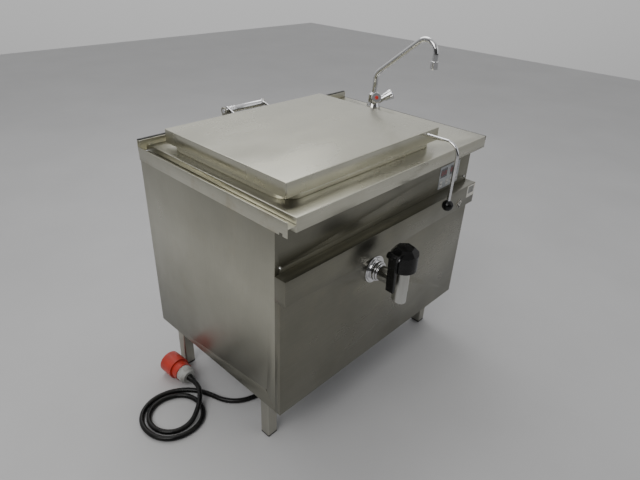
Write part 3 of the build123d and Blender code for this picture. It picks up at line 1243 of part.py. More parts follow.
def corner_radii(points):
    """Rounding radius at every inner point: 0.45 of the shorter run over tan of half the turn."""
    radii = []
    for before, here, after in zip(points, points[1:], points[2:]):
        run_in = [h - b for h, b in zip(here, before)]
        run_out = [a - h for a, h in zip(after, here)]
        len_in = math.hypot(*run_in)
        len_out = math.hypot(*run_out)
        cosine = sum(p * q for p, q in zip(run_in, run_out)) / (len_in * len_out)
        turn = math.acos(max(-1.0, min(1.0, cosine)))
        radii.append(0.45 * min(len_in, len_out) / math.tan(turn / 2))
    return radii


CORD_RADII = corner_radii(CORD_POINTS)
print("cord radii:", [round(r) for r in CORD_RADII])
with BuildPart() as power_cable:
    with BuildLine() as cord_path:
        FilletPolyline(*CORD_POINTS, radius=CORD_RADII)
    with BuildSketch(Plane(origin=cord_path.line @ 0, z_dir=cord_path.line % 0)):
        Circle(CORD_R)
    sweep(path=cord_path.line)
CORD_LEN = sum(edge.length for edge in cord_path.edges())
CORD_VOLUME = CORD_LEN * math.pi * CORD_R**2
print("cord length:", round(CORD_LEN), "volume ratio:", power_cable.part.volume / CORD_VOLUME)
save(power_cable.part, "power_cable")
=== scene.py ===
"""Looks of the soup kettle: materials, softened sheet edges, cord, small fittings, camera and light.

Metres, in the CAD frame: +Z up, -Y the front, the floor at Z = 0.
"""

import json
import math

import bmesh
import bpy
from mathutils import Matrix, Vector


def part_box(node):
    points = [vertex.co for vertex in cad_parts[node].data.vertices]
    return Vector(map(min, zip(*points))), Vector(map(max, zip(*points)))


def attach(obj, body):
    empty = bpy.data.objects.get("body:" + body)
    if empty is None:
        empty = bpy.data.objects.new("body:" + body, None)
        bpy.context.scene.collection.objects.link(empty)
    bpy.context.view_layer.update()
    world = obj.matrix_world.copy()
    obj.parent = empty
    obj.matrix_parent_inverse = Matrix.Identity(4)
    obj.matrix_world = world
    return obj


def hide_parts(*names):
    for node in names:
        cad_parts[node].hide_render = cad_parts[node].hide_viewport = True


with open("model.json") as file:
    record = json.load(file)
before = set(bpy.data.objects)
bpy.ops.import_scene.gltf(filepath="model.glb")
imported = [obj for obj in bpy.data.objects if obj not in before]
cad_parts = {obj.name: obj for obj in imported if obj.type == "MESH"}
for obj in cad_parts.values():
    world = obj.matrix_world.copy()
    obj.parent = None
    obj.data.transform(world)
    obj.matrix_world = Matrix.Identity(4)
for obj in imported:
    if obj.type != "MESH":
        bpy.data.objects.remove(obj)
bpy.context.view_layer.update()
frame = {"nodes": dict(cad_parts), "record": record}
record = frame["record"]
nodes = frame["nodes"]
JOINTS = {joint["name"]: joint for joint in record["behaviour"]["joints"]}
BODY_OF = {node: body for body, members in record["behaviour"]["bodies"].items() for node in members}
SLOT_OF = {entry["node"]: entry["material_slot"] for entry in record["subparts"]}


# ---------------------------------------------------------------- materials
def new_material(name):
    """An empty node material with its Principled shader and tools to add nodes."""
    material = bpy.data.materials.new(name)
    material.use_nodes = True
    tree = material.node_tree
    shader = tree.nodes["Principled BSDF"]
    return material, tree, shader


def add_noise(tree, stretch, scale, detail=4.0, roughness=0.55):
    """Noise in object coordinates, stretched by a mapping; returns its value socket."""
    coords = tree.nodes.new("ShaderNodeTexCoord")
    mapping = tree.nodes.new("ShaderNodeMapping")
    noise = tree.nodes.new("ShaderNodeTexNoise")
    mapping.inputs["Scale"].default_value = stretch
    noise.inputs["Scale"].default_value = scale
    noise.inputs["Detail"].default_value = detail
    noise.inputs["Roughness"].default_value = roughness
    tree.links.new(coords.outputs["Object"], mapping.inputs["Vector"])
    tree.links.new(mapping.outputs["Vector"], noise.inputs["Vector"])
    return noise.outputs["Fac"]


def add_range(tree, value, low, high, start=0.3, end=0.7):
    """Maps a 0..1 value onto low..high between start and end."""
    ranged = tree.nodes.new("ShaderNodeMapRange")
    ranged.inputs["From Min"].default_value = start
    ranged.inputs["From Max"].default_value = end
    ranged.inputs["To Min"].default_value = low
    ranged.inputs["To Max"].default_value = high
    tree.links.new(value, ranged.inputs["Value"])
    return ranged.outputs["Result"]


def add_mix(tree, factor, first, second):
    """Mixes two colours, each a colour or a socket, by a factor socket."""
    mix = tree.nodes.new("ShaderNodeMix")
    mix.data_type = "RGBA"
    tree.links.new(factor, mix.inputs["Factor"])
    for key, colour in (("A", first), ("B", second)):
        socket = [s for s in mix.inputs if s.name == key and s.type == "RGBA"][0]
        if isinstance(colour, bpy.types.NodeSocket):
            tree.links.new(colour, socket)
        else:
            socket.default_value = (*colour, 1.0)
    return [s for s in mix.outputs if s.type == "RGBA"][0]


def add_sum(tree, first, second):
    """Adds two value sockets."""
    total = tree.nodes.new("ShaderNodeMath")
    total.operation = "ADD"
    tree.links.new(first, total.inputs[0])
    tree.links.new(second, total.inputs[1])
    return total.outputs["Value"]


def add_bump(tree, shader, height, strength, distance):
    """Feeds a height socket into the shader's normal."""
    bump = tree.nodes.new("ShaderNodeBump")
    bump.inputs["Strength"].default_value = strength
    bump.inputs["Distance"].default_value = distance
    tree.links.new(height, bump.inputs["Height"])
    tree.links.new(bump.outputs["Normal"], shader.inputs["Normal"])


def add_height(tree, low, high):
    """0 at one height above the floor and 1 at another."""
    coords = tree.nodes.new("ShaderNodeTexCoord")
    split = tree.nodes.new("ShaderNodeSeparateXYZ")
    tree.links.new(coords.outputs["Object"], split.inputs["Vector"])
    return add_range(tree, split.outputs["Z"], 0.0, 1.0, low, high)


def steel(name, light, dark, grain, rough=(0.22, 0.36), stain=None, stain_amount=0.35, painted_floor_shade=None):
    """Brushed stainless steel: fine grain along one axis, cloudy wear, optional stains and painted shade
    towards the floor.

    The last argument, (height where it ends, how dark it gets below), paints shade on the sheet towards the
    floor.
    """
    material, tree, shader = new_material(name)
    shader.inputs["Metallic"].default_value = 1.0
    fine = add_noise(tree, grain, 90.0, 3.0)
    cloud = add_noise(tree, (1.0, 1.0, 1.0), 3.2, 5.0)
    streak = add_noise(tree, tuple(0.3 + 0.08 * g for g in grain), 7.0, 4.0)
    tone = add_mix(tree, add_range(tree, cloud, 0.0, 1.0), light, dark)
    tone = add_mix(tree, add_range(tree, fine, 0.0, 0.28), tone, tuple(0.72 * c for c in dark))
    if stain is not None:
        blotch = add_noise(tree, (1.0, 1.0, 1.0), 11.0, 8.0, 0.7)
        tone = add_mix(tree, add_range(tree, blotch, 0.0, stain_amount, 0.52, 0.72), tone, stain)
    # Painted shade: the sheet darkens towards the floor below the given height
    if painted_floor_shade is not None:
        end, share = painted_floor_shade
        tone = add_mix(tree, add_height(tree, 0.15, end), tuple(share * c for c in dark), tone)
    tree.links.new(tone, shader.inputs["Base Color"])
    wear = add_range(tree, streak, rough[0], rough[1])
    smudge = add_range(tree, cloud, 0.0, 0.08, 0.45, 0.65)
    tree.links.new(add_sum(tree, wear, smudge), shader.inputs["Roughness"])
    add_bump(tree, shader, fine, 0.10, 0.0004)
    return material


def chrome(name, colour=(0.74, 0.74, 0.75), rough=(0.05, 0.16)):
    """Bright plating with water marks and light wear."""
    material, tree, shader = new_material(name)
    shader.inputs["Metallic"].default_value = 1.0
    spots = add_noise(tree, (1.0, 1.0, 1.0), 60.0, 6.0, 0.65)
    film = add_noise(tree, (1.0, 1.0, 1.0), 14.0, 3.0)
    tone = add_mix(tree, add_range(tree, spots, 0.0, 0.5, 0.5, 0.7), colour, tuple(0.62 * c for c in colour))
    tree.links.new(tone, shader.inputs["Base Color"])
    tree.links.new(add_range(tree, film, rough[0], rough[1]), shader.inputs["Roughness"])
    add_bump(tree, shader, spots, 0.04, 0.0003)
    return material


def dull(
    name, colour, worn, rough=(0.35, 0.6), scale=40.0, bump=0.15, depth=0.0004, metallic=0.0, shine=0.5
):
    """A plain surface with fine texture, slight colour change and scuffs."""
    material, tree, shader = new_material(name)
    shader.inputs["Metallic"].default_value = metallic
    shader.inputs["Specular IOR Level"].default_value = shine
    fine = add_noise(tree, (1.0, 1.0, 1.0), scale * 12.0, 3.0)
    broad = add_noise(tree, (1.0, 1.0, 1.0), scale, 6.0, 0.6)
    tone = add_mix(tree, add_range(tree, broad, 0.0, 1.0, 0.42, 0.72), colour, worn)
    tree.links.new(tone, shader.inputs["Base Color"])
    tree.links.new(add_range(tree, broad, rough[0], rough[1]), shader.inputs["Roughness"])
    add_bump(tree, shader, fine, bump, depth)
    return material


def glass(name):
    """Smoked display window."""
    material, tree, shader = new_material(name)
    haze = add_noise(tree, (1.0, 1.0, 1.0), 90.0, 4.0)
    tone = add_mix(tree, add_range(tree, haze, 0.0, 1.0), (0.012, 0.010, 0.012), (0.035, 0.02, 0.02))
    tree.links.new(tone, shader.inputs["Base Color"])
    tree.links.new(add_range(tree, haze, 0.06, 0.18), shader.inputs["Roughness"])
    shader.inputs["Coat Weight"].default_value = 0.6
    return material


# Lit and shaded copies of one steel: the front tones are painted shade, the top tones painted light, the
# side tones in between
SHADED_FRONT_LIGHT = (0.27, 0.263, 0.215)
SHADED_FRONT_DARK = (0.20, 0.195, 0.16)
SIDE_LIGHT = (0.57, 0.56, 0.475)
SIDE_DARK = (0.45, 0.44, 0.37)
LIT_TOP_LIGHT = (0.66, 0.645, 0.545)
LIT_TOP_DARK = (0.55, 0.54, 0.455)
STAIN = (0.40, 0.34, 0.22)
GRAIN_X = (0.12, 9.0, 9.0)
GRAIN_Y = (9.0, 0.12, 9.0)
GRAIN_Z = (9.0, 9.0, 0.12)

MATERIALS = {
    "steel_cabinet": steel("steel_cabinet", SIDE_LIGHT, SIDE_DARK, GRAIN_X, (0.24, 0.36), STAIN, 0.12),
    # The front sheets: painted shade, darker than the sides and the tops
    "steel_front_shaded": steel("steel_front_shaded", SHADED_FRONT_LIGHT, SHADED_FRONT_DARK, GRAIN_X, (0.24, 0.36), STAIN, 0.1),
    # The side panels: painted shade that darkens them below 0.62 m towards the floor
    "steel_side_floor_shade": steel(
        "steel_side_floor_shade", SIDE_LIGHT, SIDE_DARK, GRAIN_Z, (0.26, 0.4), STAIN, 0.15, (0.62, 0.45),
    ),
    "steel_worktop": steel("steel_worktop", LIT_TOP_LIGHT, LIT_TOP_DARK, GRAIN_X, (0.2, 0.32), STAIN, 0.12),
    "steel_rail": steel("steel_rail", LIT_TOP_LIGHT, LIT_TOP_DARK, GRAIN_Y, (0.24, 0.38), STAIN, 0.5),
    "steel_lid": steel("steel_lid", LIT_TOP_LIGHT, LIT_TOP_DARK, GRAIN_X, (0.16, 0.27), STAIN, 0.05),
    "steel_inner": steel(
        "steel_inner", (0.62, 0.61, 0.56), (0.5, 0.49, 0.45), GRAIN_X, (0.2, 0.34), STAIN, 0.2,
    ),
    "steel_galvanised": steel(
        "steel_galvanised", (0.55, 0.56, 0.57), (0.42, 0.43, 0.44), (1.0, 1.0, 1.0), (0.35, 0.5),
    ),
    "steel_leg": steel(
        "steel_leg", (0.50, 0.49, 0.43), (0.36, 0.35, 0.31), GRAIN_Z, (0.3, 0.45), STAIN, 0.3,
    ),
    "steel_pipe": steel(
        "steel_pipe", (0.66, 0.66, 0.63), (0.52, 0.52, 0.49), GRAIN_Z, (0.28, 0.42), STAIN, 0.1,
    ),
    "chrome": chrome("chrome"),
    "black_plastic": dull(
        "black_plastic", (0.005, 0.005, 0.005), (0.014, 0.014, 0.014), (0.16, 0.3), 30.0, 0.05, shine=0.28,
    ),
    "black_matte": dull("black_matte", (0.03, 0.03, 0.03), (0.09, 0.085, 0.08), (0.5, 0.75)),
    "black_rubber": dull("black_rubber", (0.022, 0.022, 0.022), (0.06, 0.06, 0.055), (0.5, 0.7)),
    "gasket_rubber": dull("gasket_rubber", (0.16, 0.16, 0.16), (0.24, 0.23, 0.22), (0.45, 0.65)),
    "cord_rubber": dull(
        "cord_rubber", (0.004, 0.004, 0.004), (0.014, 0.013, 0.012), (0.2, 0.36), 16.0, 0.12, shine=0.25,
    ),
    "wool": dull("wool", (0.62, 0.54, 0.34), (0.78, 0.72, 0.52), (0.8, 0.95), 60.0, 0.8, 0.002),
    "element_metal": dull(
        "element_metal", (0.20, 0.15, 0.12), (0.36, 0.28, 0.22), (0.35, 0.6), 50.0, 0.2, 0.0004, 0.8,
    ),
    "brass": dull("brass", (0.66, 0.48, 0.22), (0.45, 0.32, 0.16), (0.2, 0.4), 50.0, 0.1, 0.0004, 1.0),
    "foil_grey": dull("foil_grey", (0.50, 0.52, 0.53), (0.40, 0.42, 0.43), (0.28, 0.42), 25.0, 0.05),
    "display_glass": glass("display_glass"),
    "key_light": dull("key_light", (0.74, 0.74, 0.71), (0.60, 0.59, 0.56), (0.3, 0.5), 60.0, 0.08),
    "housing_plastic": dull("housing_plastic", (0.16, 0.16, 0.17), (0.24, 0.24, 0.25), (0.45, 0.6)),
    "label_white": dull("label_white", (0.82, 0.81, 0.76), (0.66, 0.62, 0.52), (0.35, 0.55), 45.0, 0.08),
    "terminal_plastic": dull("terminal_plastic", (0.78, 0.75, 0.66), (0.66, 0.62, 0.52), (0.4, 0.6)),
    "contactor_plastic": dull("contactor_plastic", (0.14, 0.15, 0.16), (0.22, 0.22, 0.23), (0.4, 0.6)),
    "plug_red": dull("plug_red", (0.55, 0.042, 0.024), (0.38, 0.035, 0.022), (0.26, 0.45), 22.0, 0.1),
    "plug_grey": dull("plug_grey", (0.46, 0.46, 0.44), (0.30, 0.29, 0.27), (0.4, 0.62), 35.0, 0.12),
    "pin_brass": dull(
        "pin_brass", (0.80, 0.66, 0.38), (0.6, 0.48, 0.28), (0.15, 0.3), 50.0, 0.05, 0.0003, 1.0,
    ),
    "badge_enamel": dull(
        "badge_enamel", (0.60, 0.58, 0.52), (0.30, 0.29, 0.27), (0.2, 0.35), 70.0, 0.1, 0.0003, 0.8,
    ),
    "rating_print": dull("rating_print", (0.36, 0.36, 0.34), (0.28, 0.27, 0.25), (0.35, 0.5), 60.0, 0.05),
    "index_red": dull("index_red", (0.62, 0.03, 0.02), (0.42, 0.03, 0.02), (0.2, 0.35), 60.0, 0.05),
    "index_blue": dull("index_blue", (0.03, 0.08, 0.5), (0.02, 0.05, 0.3), (0.2, 0.35), 60.0, 0.05),
    "legend_dark": dull("legend_dark", (0.06, 0.07, 0.08), (0.11, 0.12, 0.13), (0.4, 0.55), 60.0, 0.05),
    "indicator_red": dull(
        "indicator_red", (0.50, 0.02, 0.02), (0.32, 0.02, 0.02), (0.2, 0.35), 60.0, 0.05,
    ),
    "indicator_green": dull(
        "indicator_green", (0.05, 0.32, 0.10), (0.03, 0.2, 0.07), (0.2, 0.35), 60.0, 0.05,
    ),
}
# Nodes whose sheet differs in grain, wear or painted shade from the rest of their slot; the front sheets are
# painted darker as shade, the side panels darker towards the floor as painted shade
SPECIAL = {
    "side_panel_left": "steel_side_floor_shade",
    "side_panel_right": "steel_side_floor_shade",
    "coupling_rail": "steel_rail",
    "upstand": "steel_rail",
    "drain_pipe": "chrome",
    "lower_front_panel": "steel_front_shaded",
    "front_rail": "steel_front_shaded",
    "fascia_panel": "steel_front_shaded",
    "valve_body": "steel_pipe",
    "outlet_tube": "steel_pipe",
}


def look_of(node):
    """The material a CAD node is shown with."""
    return MATERIALS[SPECIAL.get(node, SLOT_OF[node])]


def paint(obj, material):
    """Puts one material on every face of an object."""
    if obj.material_slots:
        for material_slot in obj.material_slots:
            material_slot.material = material
    else:
        obj.data.materials.append(material)


for node_name, node_object in nodes.items():
    paint(node_object, look_of(node_name))


# ---------------------------------------------------------------- mesh tools
def piece_from_bmesh(mesh_data, name, material, body, smooth=False):
    """Turns a bmesh into an object that rides on a body."""
    mesh = bpy.data.meshes.new(name)
    mesh_data.to_mesh(mesh)
    mesh_data.free()
    obj = bpy.data.objects.new(name, mesh)
    bpy.context.collection.objects.link(obj)
    mesh.materials.append(MATERIALS[material])
    for polygon in mesh.polygons:
        polygon.use_smooth = smooth
    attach(obj, body)
    return obj


def apply_modifiers(obj):
    """Bakes an object's modifiers into its mesh."""
    graph = bpy.context.evaluated_depsgraph_get()
    baked = bpy.data.meshes.new_from_object(obj.evaluated_get(graph))
    obj.modifiers.clear()
    obj.data = baked


def smooth_by_angle(mesh, degrees):
    """Smooth shading, with the edges above an angle kept sharp."""
    mesh_data = bmesh.new()
    mesh_data.from_mesh(mesh)
    limit = math.radians(degrees)
    for face in mesh_data.faces:
        face.smooth = True
    for edge in mesh_data.edges:
        edge.smooth = len(edge.link_faces) == 2 and edge.calc_face_angle(0.0) < limit
    mesh_data.to_mesh(mesh)
    mesh_data.free()


def soften(node, width, segments=2):
    """Replaces a CAD node with the same shape whose folded and cut edges are slightly rounded."""
    source = nodes[node]
    mesh = source.data.copy()
    mesh.name = node + "_soft"
    mesh_data = bmesh.new()
    mesh_data.from_mesh(mesh)
    bmesh.ops.remove_doubles(mesh_data, verts=mesh_data.verts, dist=1e-6)
    bmesh.ops.dissolve_limit(
        mesh_data,
        angle_limit=math.radians(0.5),
        verts=mesh_data.verts,
        edges=mesh_data.edges,
    )
    mesh_data.to_mesh(mesh)
    mesh_data.free()
    obj = bpy.data.objects.new(node + "_soft", mesh)
    bpy.context.collection.objects.link(obj)
    bevel = obj.modifiers.new("edge", "BEVEL")
    bevel.limit_method = "ANGLE"
    bevel.angle_limit = math.radians(40.0)
    bevel.width = width
    bevel.segments = segments
    bevel.use_clamp_overlap = True
    apply_modifiers(obj)
    smooth_by_angle(obj.data, 35.0)
    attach(obj, BODY_OF[node])
    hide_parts(node)
    paint(obj, look_of(node))
    return obj


SHEET_ROUND = 0.0007
for sheet_node in (
    "worktop",
    "side_panel_left",
    "side_panel_right",
    "lower_front_panel",
    "front_rail",
    "fascia_panel",
    "coupling_rail",
    "upstand",
    "base_tray",
    "rear_panel",
):
    soften(sheet_node, SHEET_ROUND)
for solid_node in ("lid_shell", "pan_rim", "drain_nut", "drain_lever", "hinge_brackets", "hinge_arms"):
    soften(solid_node, 0.0009, 3)


def disc(name, centre, normal, radius, height, material, body, segments=32, edge=0.0):
    """A short cylinder standing on a point along a normal, its rim rounded if edge is given."""
    mesh_data = bmesh.new()
    turn = Vector((0, 0, 1)).rotation_difference(Vector(normal).normalized()).to_matrix().to_4x4()
    place = Matrix.Translation(Vector(centre) + Vector(normal).normalized() * (height / 2)) @ turn
    bmesh.ops.create_cone(
        mesh_data,
        cap_ends=True,
        segments=segments,
        radius1=radius,
        radius2=radius,
        depth=height,
        matrix=place,
    )
    if edge:
        rims = [e for e in mesh_data.edges if e.calc_face_angle(0.0) > 1.0]
        bmesh.ops.bevel(mesh_data, geom=rims, offset=edge, segments=3, affect="EDGES", profile=0.5)
    obj = piece_from_bmesh(mesh_data, name, material, body)
    smooth_by_angle(obj.data, 40.0)
    return obj


def block(name, low, high, material, body, edge=0.0005):
    """A box between two corners with rounded edges."""
    mesh_data = bmesh.new()
    low, high = Vector(low), Vector(high)
    bmesh.ops.create_cube(
        mesh_data,
        size=1.0,
        matrix=Matrix.Translation((low + high) / 2) @ Matrix.Diagonal((*(high - low), 1.0)),
    )
    if edge:
        bmesh.ops.bevel(
            mesh_data, geom=list(mesh_data.edges), offset=edge, segments=2, affect="EDGES", profile=0.5
        )
    return piece_from_bmesh(mesh_data, name, material, body)


# ---------------------------------------------------------------- tap indices
for knob_node, knob_body, knob_joint, index_look in (
    ("tap_knob_hot", "hot_knob", "hot_knob_turn", "index_red"),
    ("tap_knob_cold", "cold_knob", "cold_knob_turn", "index_blue"),
):
    axis = Vector(JOINTS[knob_joint]["axis"]).normalized()
    start = Vector(JOINTS[knob_joint]["pos_m"])
    reach = max((v.co - start).dot(axis) for v in nodes[knob_node].data.vertices)
    disc(
        knob_node + "_index",
        start + axis * (reach - 0.0004),
        axis,
        0.0075,
        0.0016,
        index_look,
        knob_body,
        edge=0.0005,
    )

# ---------------------------------------------------------------- control panel
FOIL_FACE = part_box("control_foil")[0].y
PRINT_T = 0.0002
LED_R = 0.0015


def printed(name, x0, x1, z0, z1, look):
    """A thin print on the control foil."""
    return block(name, (x0, FOIL_FACE - PRINT_T, z0), (x1, FOIL_FACE, z1), look, "cabinet", 0.0)


for number in (1, 2, 3, 4):
    key_low, key_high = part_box("key_" + str(number))
    key_centre = (key_low + key_high) / 2
    # A raised symbol bar on each key, generic and without text
    block(
        "key_mark_" + str(number),
        (key_centre.x - 0.0035, key_low.y - 0.0003, key_centre.z - 0.0012),
        (key_centre.x + 0.0035, key_low.y + 0.0002, key_centre.z + 0.0012),
        "legend_dark",
        "key_body_" + str(number),
        0.0001,
    )
    if number % 2:
        block(
            "key_mark_up_" + str(number),
            (key_centre.x - 0.0012, key_low.y - 0.0003, key_centre.z - 0.0035),
            (key_centre.x + 0.0012, key_low.y + 0.0002, key_centre.z + 0.0035),
            "legend_dark",
            "key_body_" + str(number),
            0.0001,
        )
window_low, window_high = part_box("display_windows")
WINDOW_W = 0.044
LINE_NEAR, LINE_FAR = 0.0006, 0.0022
for number, x0 in enumerate((window_low.x, window_high.x - WINDOW_W), start=1):
    for side, z0, z1 in (
        ("low", window_low.z - LINE_FAR, window_low.z - LINE_NEAR),
        ("high", window_high.z + LINE_NEAR, window_high.z + LINE_FAR),
    ):
        printed("display_frame_" + side + "_" + str(number), x0, x0 + WINDOW_W, z0, z1, "legend_dark")

# Seven-segment digits, unlit, just in front of each window's face
SEGMENT_L, SEGMENT_T = 0.0072, 0.0014
DIGIT_PITCH = 0.0118
DIGIT_BARS = (
    (0, 1, True),
    (0, 0, True),
    (0, -1, True),
    (-0.5, 0.5, False),
    (0.5, 0.5, False),
    (-0.5, -0.5, False),
    (0.5, -0.5, False),
)
for window, x0 in enumerate((window_low.x, window_high.x - WINDOW_W), start=1):
    mesh_data = bmesh.new()
    for digit in (-1, 0, 1):
        digit_x = x0 + WINDOW_W / 2 + digit * DIGIT_PITCH
        digit_z = (window_low.z + window_high.z) / 2
        for right, up, flat in DIGIT_BARS:
            centre = Vector((digit_x + right * SEGMENT_L, window_low.y - 0.00008, digit_z + up * SEGMENT_L))
            size = (SEGMENT_L * 0.82, 0.00016, SEGMENT_T) if flat else (SEGMENT_T, 0.00016, SEGMENT_L * 0.82)
            bmesh.ops.create_cube(
                mesh_data, size=1.0, matrix=Matrix.Translation(centre) @ Matrix.Diagonal((*size, 1.0))
            )
    piece_from_bmesh(mesh_data, "digits_" + str(window), "indicator_red", "cabinet")

# Diamond badge at the left end of the label node: a dark frame, a plain metal inlay and a small mark
LABELS_LOW, LABELS_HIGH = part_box("label_plates")
BADGE_HALF_DIAGONAL = 0.0191
BADGE_Z = 0.658
INLAY_OFFSET = Vector((0.0022, 0.0, 0.0009))
BADGE_TURN = Matrix.Rotation(math.radians(45), 4, "Y")
BADGE_CENTRE = Vector((LABELS_LOW.x + BADGE_HALF_DIAGONAL, LABELS_LOW.y, BADGE_Z))
for part_name, width, lift, offset, look in (
    ("badge_frame", 0.0268, 0.0003, Vector(), "black_plastic"),
    ("badge_inlay", 0.0205, 0.0006, INLAY_OFFSET, "badge_enamel"),
    ("badge_mark", 0.0072, 0.0009, INLAY_OFFSET, "legend_dark"),
):
    mesh_data = bmesh.new()
    centre = BADGE_CENTRE + offset - Vector((0.0, lift / 2, 0.0))
    size = Matrix.Diagonal((width, lift, width, 1.0))
    bmesh.ops.create_cube(mesh_data, size=1.0, matrix=Matrix.Translation(centre) @ BADGE_TURN @ size)
    piece_from_bmesh(mesh_data, part_name, look, "cabinet")

# Rating plate: a grey printed field inside a white border, with blank lines for its text
RATING_W, RATING_T = 0.055, 0.0004
RATING_X0, RATING_X1 = LABELS_HIGH.x - RATING_W, LABELS_HIGH.x
RATING_FACE = LABELS_HIGH.y - RATING_T
FIELD_MARGIN, FIELD_Z0, FIELD_Z1 = 0.007, 0.679, 0.707
INK_T = 0.0001
LINE_START, LINE_H, LINE_PITCH, LINE_MARGIN = 0.6835, 0.0013, 0.006, 0.012


def plate_print(name, x0, x1, z0, z1, layer, look):
    """A thin print on the rating plate; layer 0 lies on the plate, layer 1 on the field."""
    front = RATING_FACE - INK_T * (layer + 1)
    block(name, (x0, front, z0), (x1, front + INK_T, z1), look, "cabinet", 0.0)


FIELD_X0, FIELD_X1 = RATING_X0 + FIELD_MARGIN, RATING_X1 - FIELD_MARGIN
plate_print("rating_field", FIELD_X0, FIELD_X1, FIELD_Z0, FIELD_Z1, 0, "rating_print")
for line in range(4):
    line_z = LINE_START + LINE_PITCH * line
    line_end = RATING_X1 - LINE_MARGIN - 0.004 * (line % 2)
    line_name = "rating_line_" + str(line + 1)
    plate_print(line_name, RATING_X0 + LINE_MARGIN, line_end, line_z, line_z + LINE_H, 1, "legend_dark")

LED_X = (0.337, 0.402)
LED_Z = (0.779, 0.788, 0.797)
for column, led_x in enumerate(LED_X, start=1):
    for row, led_z in enumerate(LED_Z, start=1):
        disc(
            "led_" + str(column) + "_" + str(row),
            (led_x, FOIL_FACE + 0.0012, led_z),
            (0, -1, 0),
            LED_R * 0.96,
            0.0016,
            "indicator_green" if row == 1 else "indicator_red",
            "cabinet",
            16,
            0.0004,
        )

# ---------------------------------------------------------------- cord
# The route's points repeat part.py's cord, in millimetres; the gland and the plug are its ends.
# As there, they are set in the shared frame by a shift along X and Y.
FRAME_SHIFT_X, FRAME_SHIFT_Y = 16.0, 16.5
PLUG_AZ = math.radians(92.0)
PLUG_DIR = (math.cos(PLUG_AZ), math.sin(PLUG_AZ))
PLUG_START = (-528.0, 232.0)
PLUG_Z = 42.0
PLUG_RUN = 54.0
CORD_ROUTE = [
    (-215.0, 0.0, 150.0),
    (-215.0, 0.0, 69.0),
    (-274.0, 0.0, 9.0),
    (-345.0, 1.0, 9.0),
    (-405.0, 11.0, 9.0),
    (-456.0, 36.0, 9.0),
    (-490.0, 80.0, 9.0),
    (-505.0, 132.0, 9.0),
    (-527.0, 180.0, 9.0),
    (-562.0, 220.0, 9.0),
    (-610.0, 250.0, 9.0),
    (-665.0, 259.0, 9.0),
    (-718.0, 242.0, 9.0),
    (-755.0, 200.0, 9.0),
    (-764.0, 145.0, 9.0),
    (-749.0, 90.0, 9.0),
    (-710.0, 52.0, 9.0),
    (-652.0, 38.0, 9.0),
    (-596.0, 54.0, 9.0),
    (-562.0, 98.0, 9.0),
    (-557.0, 153.0, 9.0),
    (-579.0, 203.0, 9.0),
    (-630.0, 233.0, 9.0),
    (-690.0, 232.0, 9.0),
    (-736.0, 189.0, 9.0),
    (-738.0, 124.0, 9.0),
    (-698.0, 74.0, 9.0),
    (-634.0, 67.0, 11.0),
    (-581.0, 96.0, 33.0),
    (-546.0, 136.0, 40.0),
    (PLUG_START[0] - PLUG_RUN * PLUG_DIR[0], PLUG_START[1] - PLUG_RUN * PLUG_DIR[1], PLUG_Z),
    (PLUG_START[0], PLUG_START[1], PLUG_Z),
]
CORD_D = 0.018


def nurbs_curve(name, points, bevel):
    """An open NURBS curve through control points in metres, with a round section."""
    curve = bpy.data.curves.new(name, "CURVE")
    curve.dimensions = "3D"
    spline = curve.splines.new("NURBS")
    spline.points.add(len(points) - 1)
    for point, place in zip(spline.points, points):
        point.co = (*place, 1.0)
    spline.order_u = 3
    spline.use_endpoint_u = True
    spline.resolution_u = 8
    curve.resolution_u = 8
    curve.bevel_depth = bevel
    curve.bevel_resolution = 6
    curve.use_fill_caps = True
    obj = bpy.data.objects.new(name, curve)
    bpy.context.collection.objects.link(obj)
    return obj


def curve_length(obj):
    """Length of a curve's centre line."""
    bevel = obj.data.bevel_depth
    obj.data.bevel_depth = 0.0
    bpy.context.view_layer.update()
    line = bpy.data.meshes.new_from_object(obj.evaluated_get(bpy.context.evaluated_depsgraph_get()))
    obj.data.bevel_depth = bevel
    places = [vertex.co.copy() for vertex in line.vertices]
    bpy.data.meshes.remove(line)
    return sum((b - a).length for a, b in zip(places, places[1:]))


cord_points = [((x - FRAME_SHIFT_X) / 1000, (y - FRAME_SHIFT_Y) / 1000, z / 1000) for x, y, z in CORD_ROUTE]
cord = nurbs_curve("power_cord", cord_points, CORD_D / 2)
cord.data.materials.append(MATERIALS["cord_rubber"])
CORD_LENGTH = round(curve_length(cord), 3)
print("cord length", CORD_LENGTH)


def tapered_sleeve(name, start, direction, length, radius_start, radius_end, look, ribs=6):
    """A hollow-looking strain relief: a tapered, ribbed sleeve along a direction."""
    mesh_data = bmesh.new()
    direction = Vector(direction).normalized()
    turn = Vector((0, 0, 1)).rotation_difference(direction).to_matrix().to_4x4()
    rings = []
    steps = ribs * 4
    segments = 32
    for step in range(steps + 1):
        share = step / steps
        groove = 0.0006 if step % 4 in (1, 2) and 0 < step < steps else 0.0
        radius = radius_start + (radius_end - radius_start) * share - groove
        ring = []
        for index in range(segments):
            angle = 2 * math.pi * index / segments
            local = Vector((radius * math.cos(angle), radius * math.sin(angle), length * share))
            ring.append(mesh_data.verts.new(Vector(start) + turn.to_3x3() @ local))
        rings.append(ring)
    for lower, upper in zip(rings, rings[1:]):
        for index in range(segments):
            following = (index + 1) % segments
            mesh_data.faces.new((lower[index], lower[following], upper[following], upper[index]))
    mesh_data.faces.new(list(reversed(rings[0])))
    mesh_data.faces.new(rings[-1])
    obj = piece_from_bmesh(mesh_data, name, look, "cabinet", True)
    return obj


plug_entry = Vector(cord_points[-1])
plug_dir = Vector((PLUG_DIR[0], PLUG_DIR[1], 0.0))
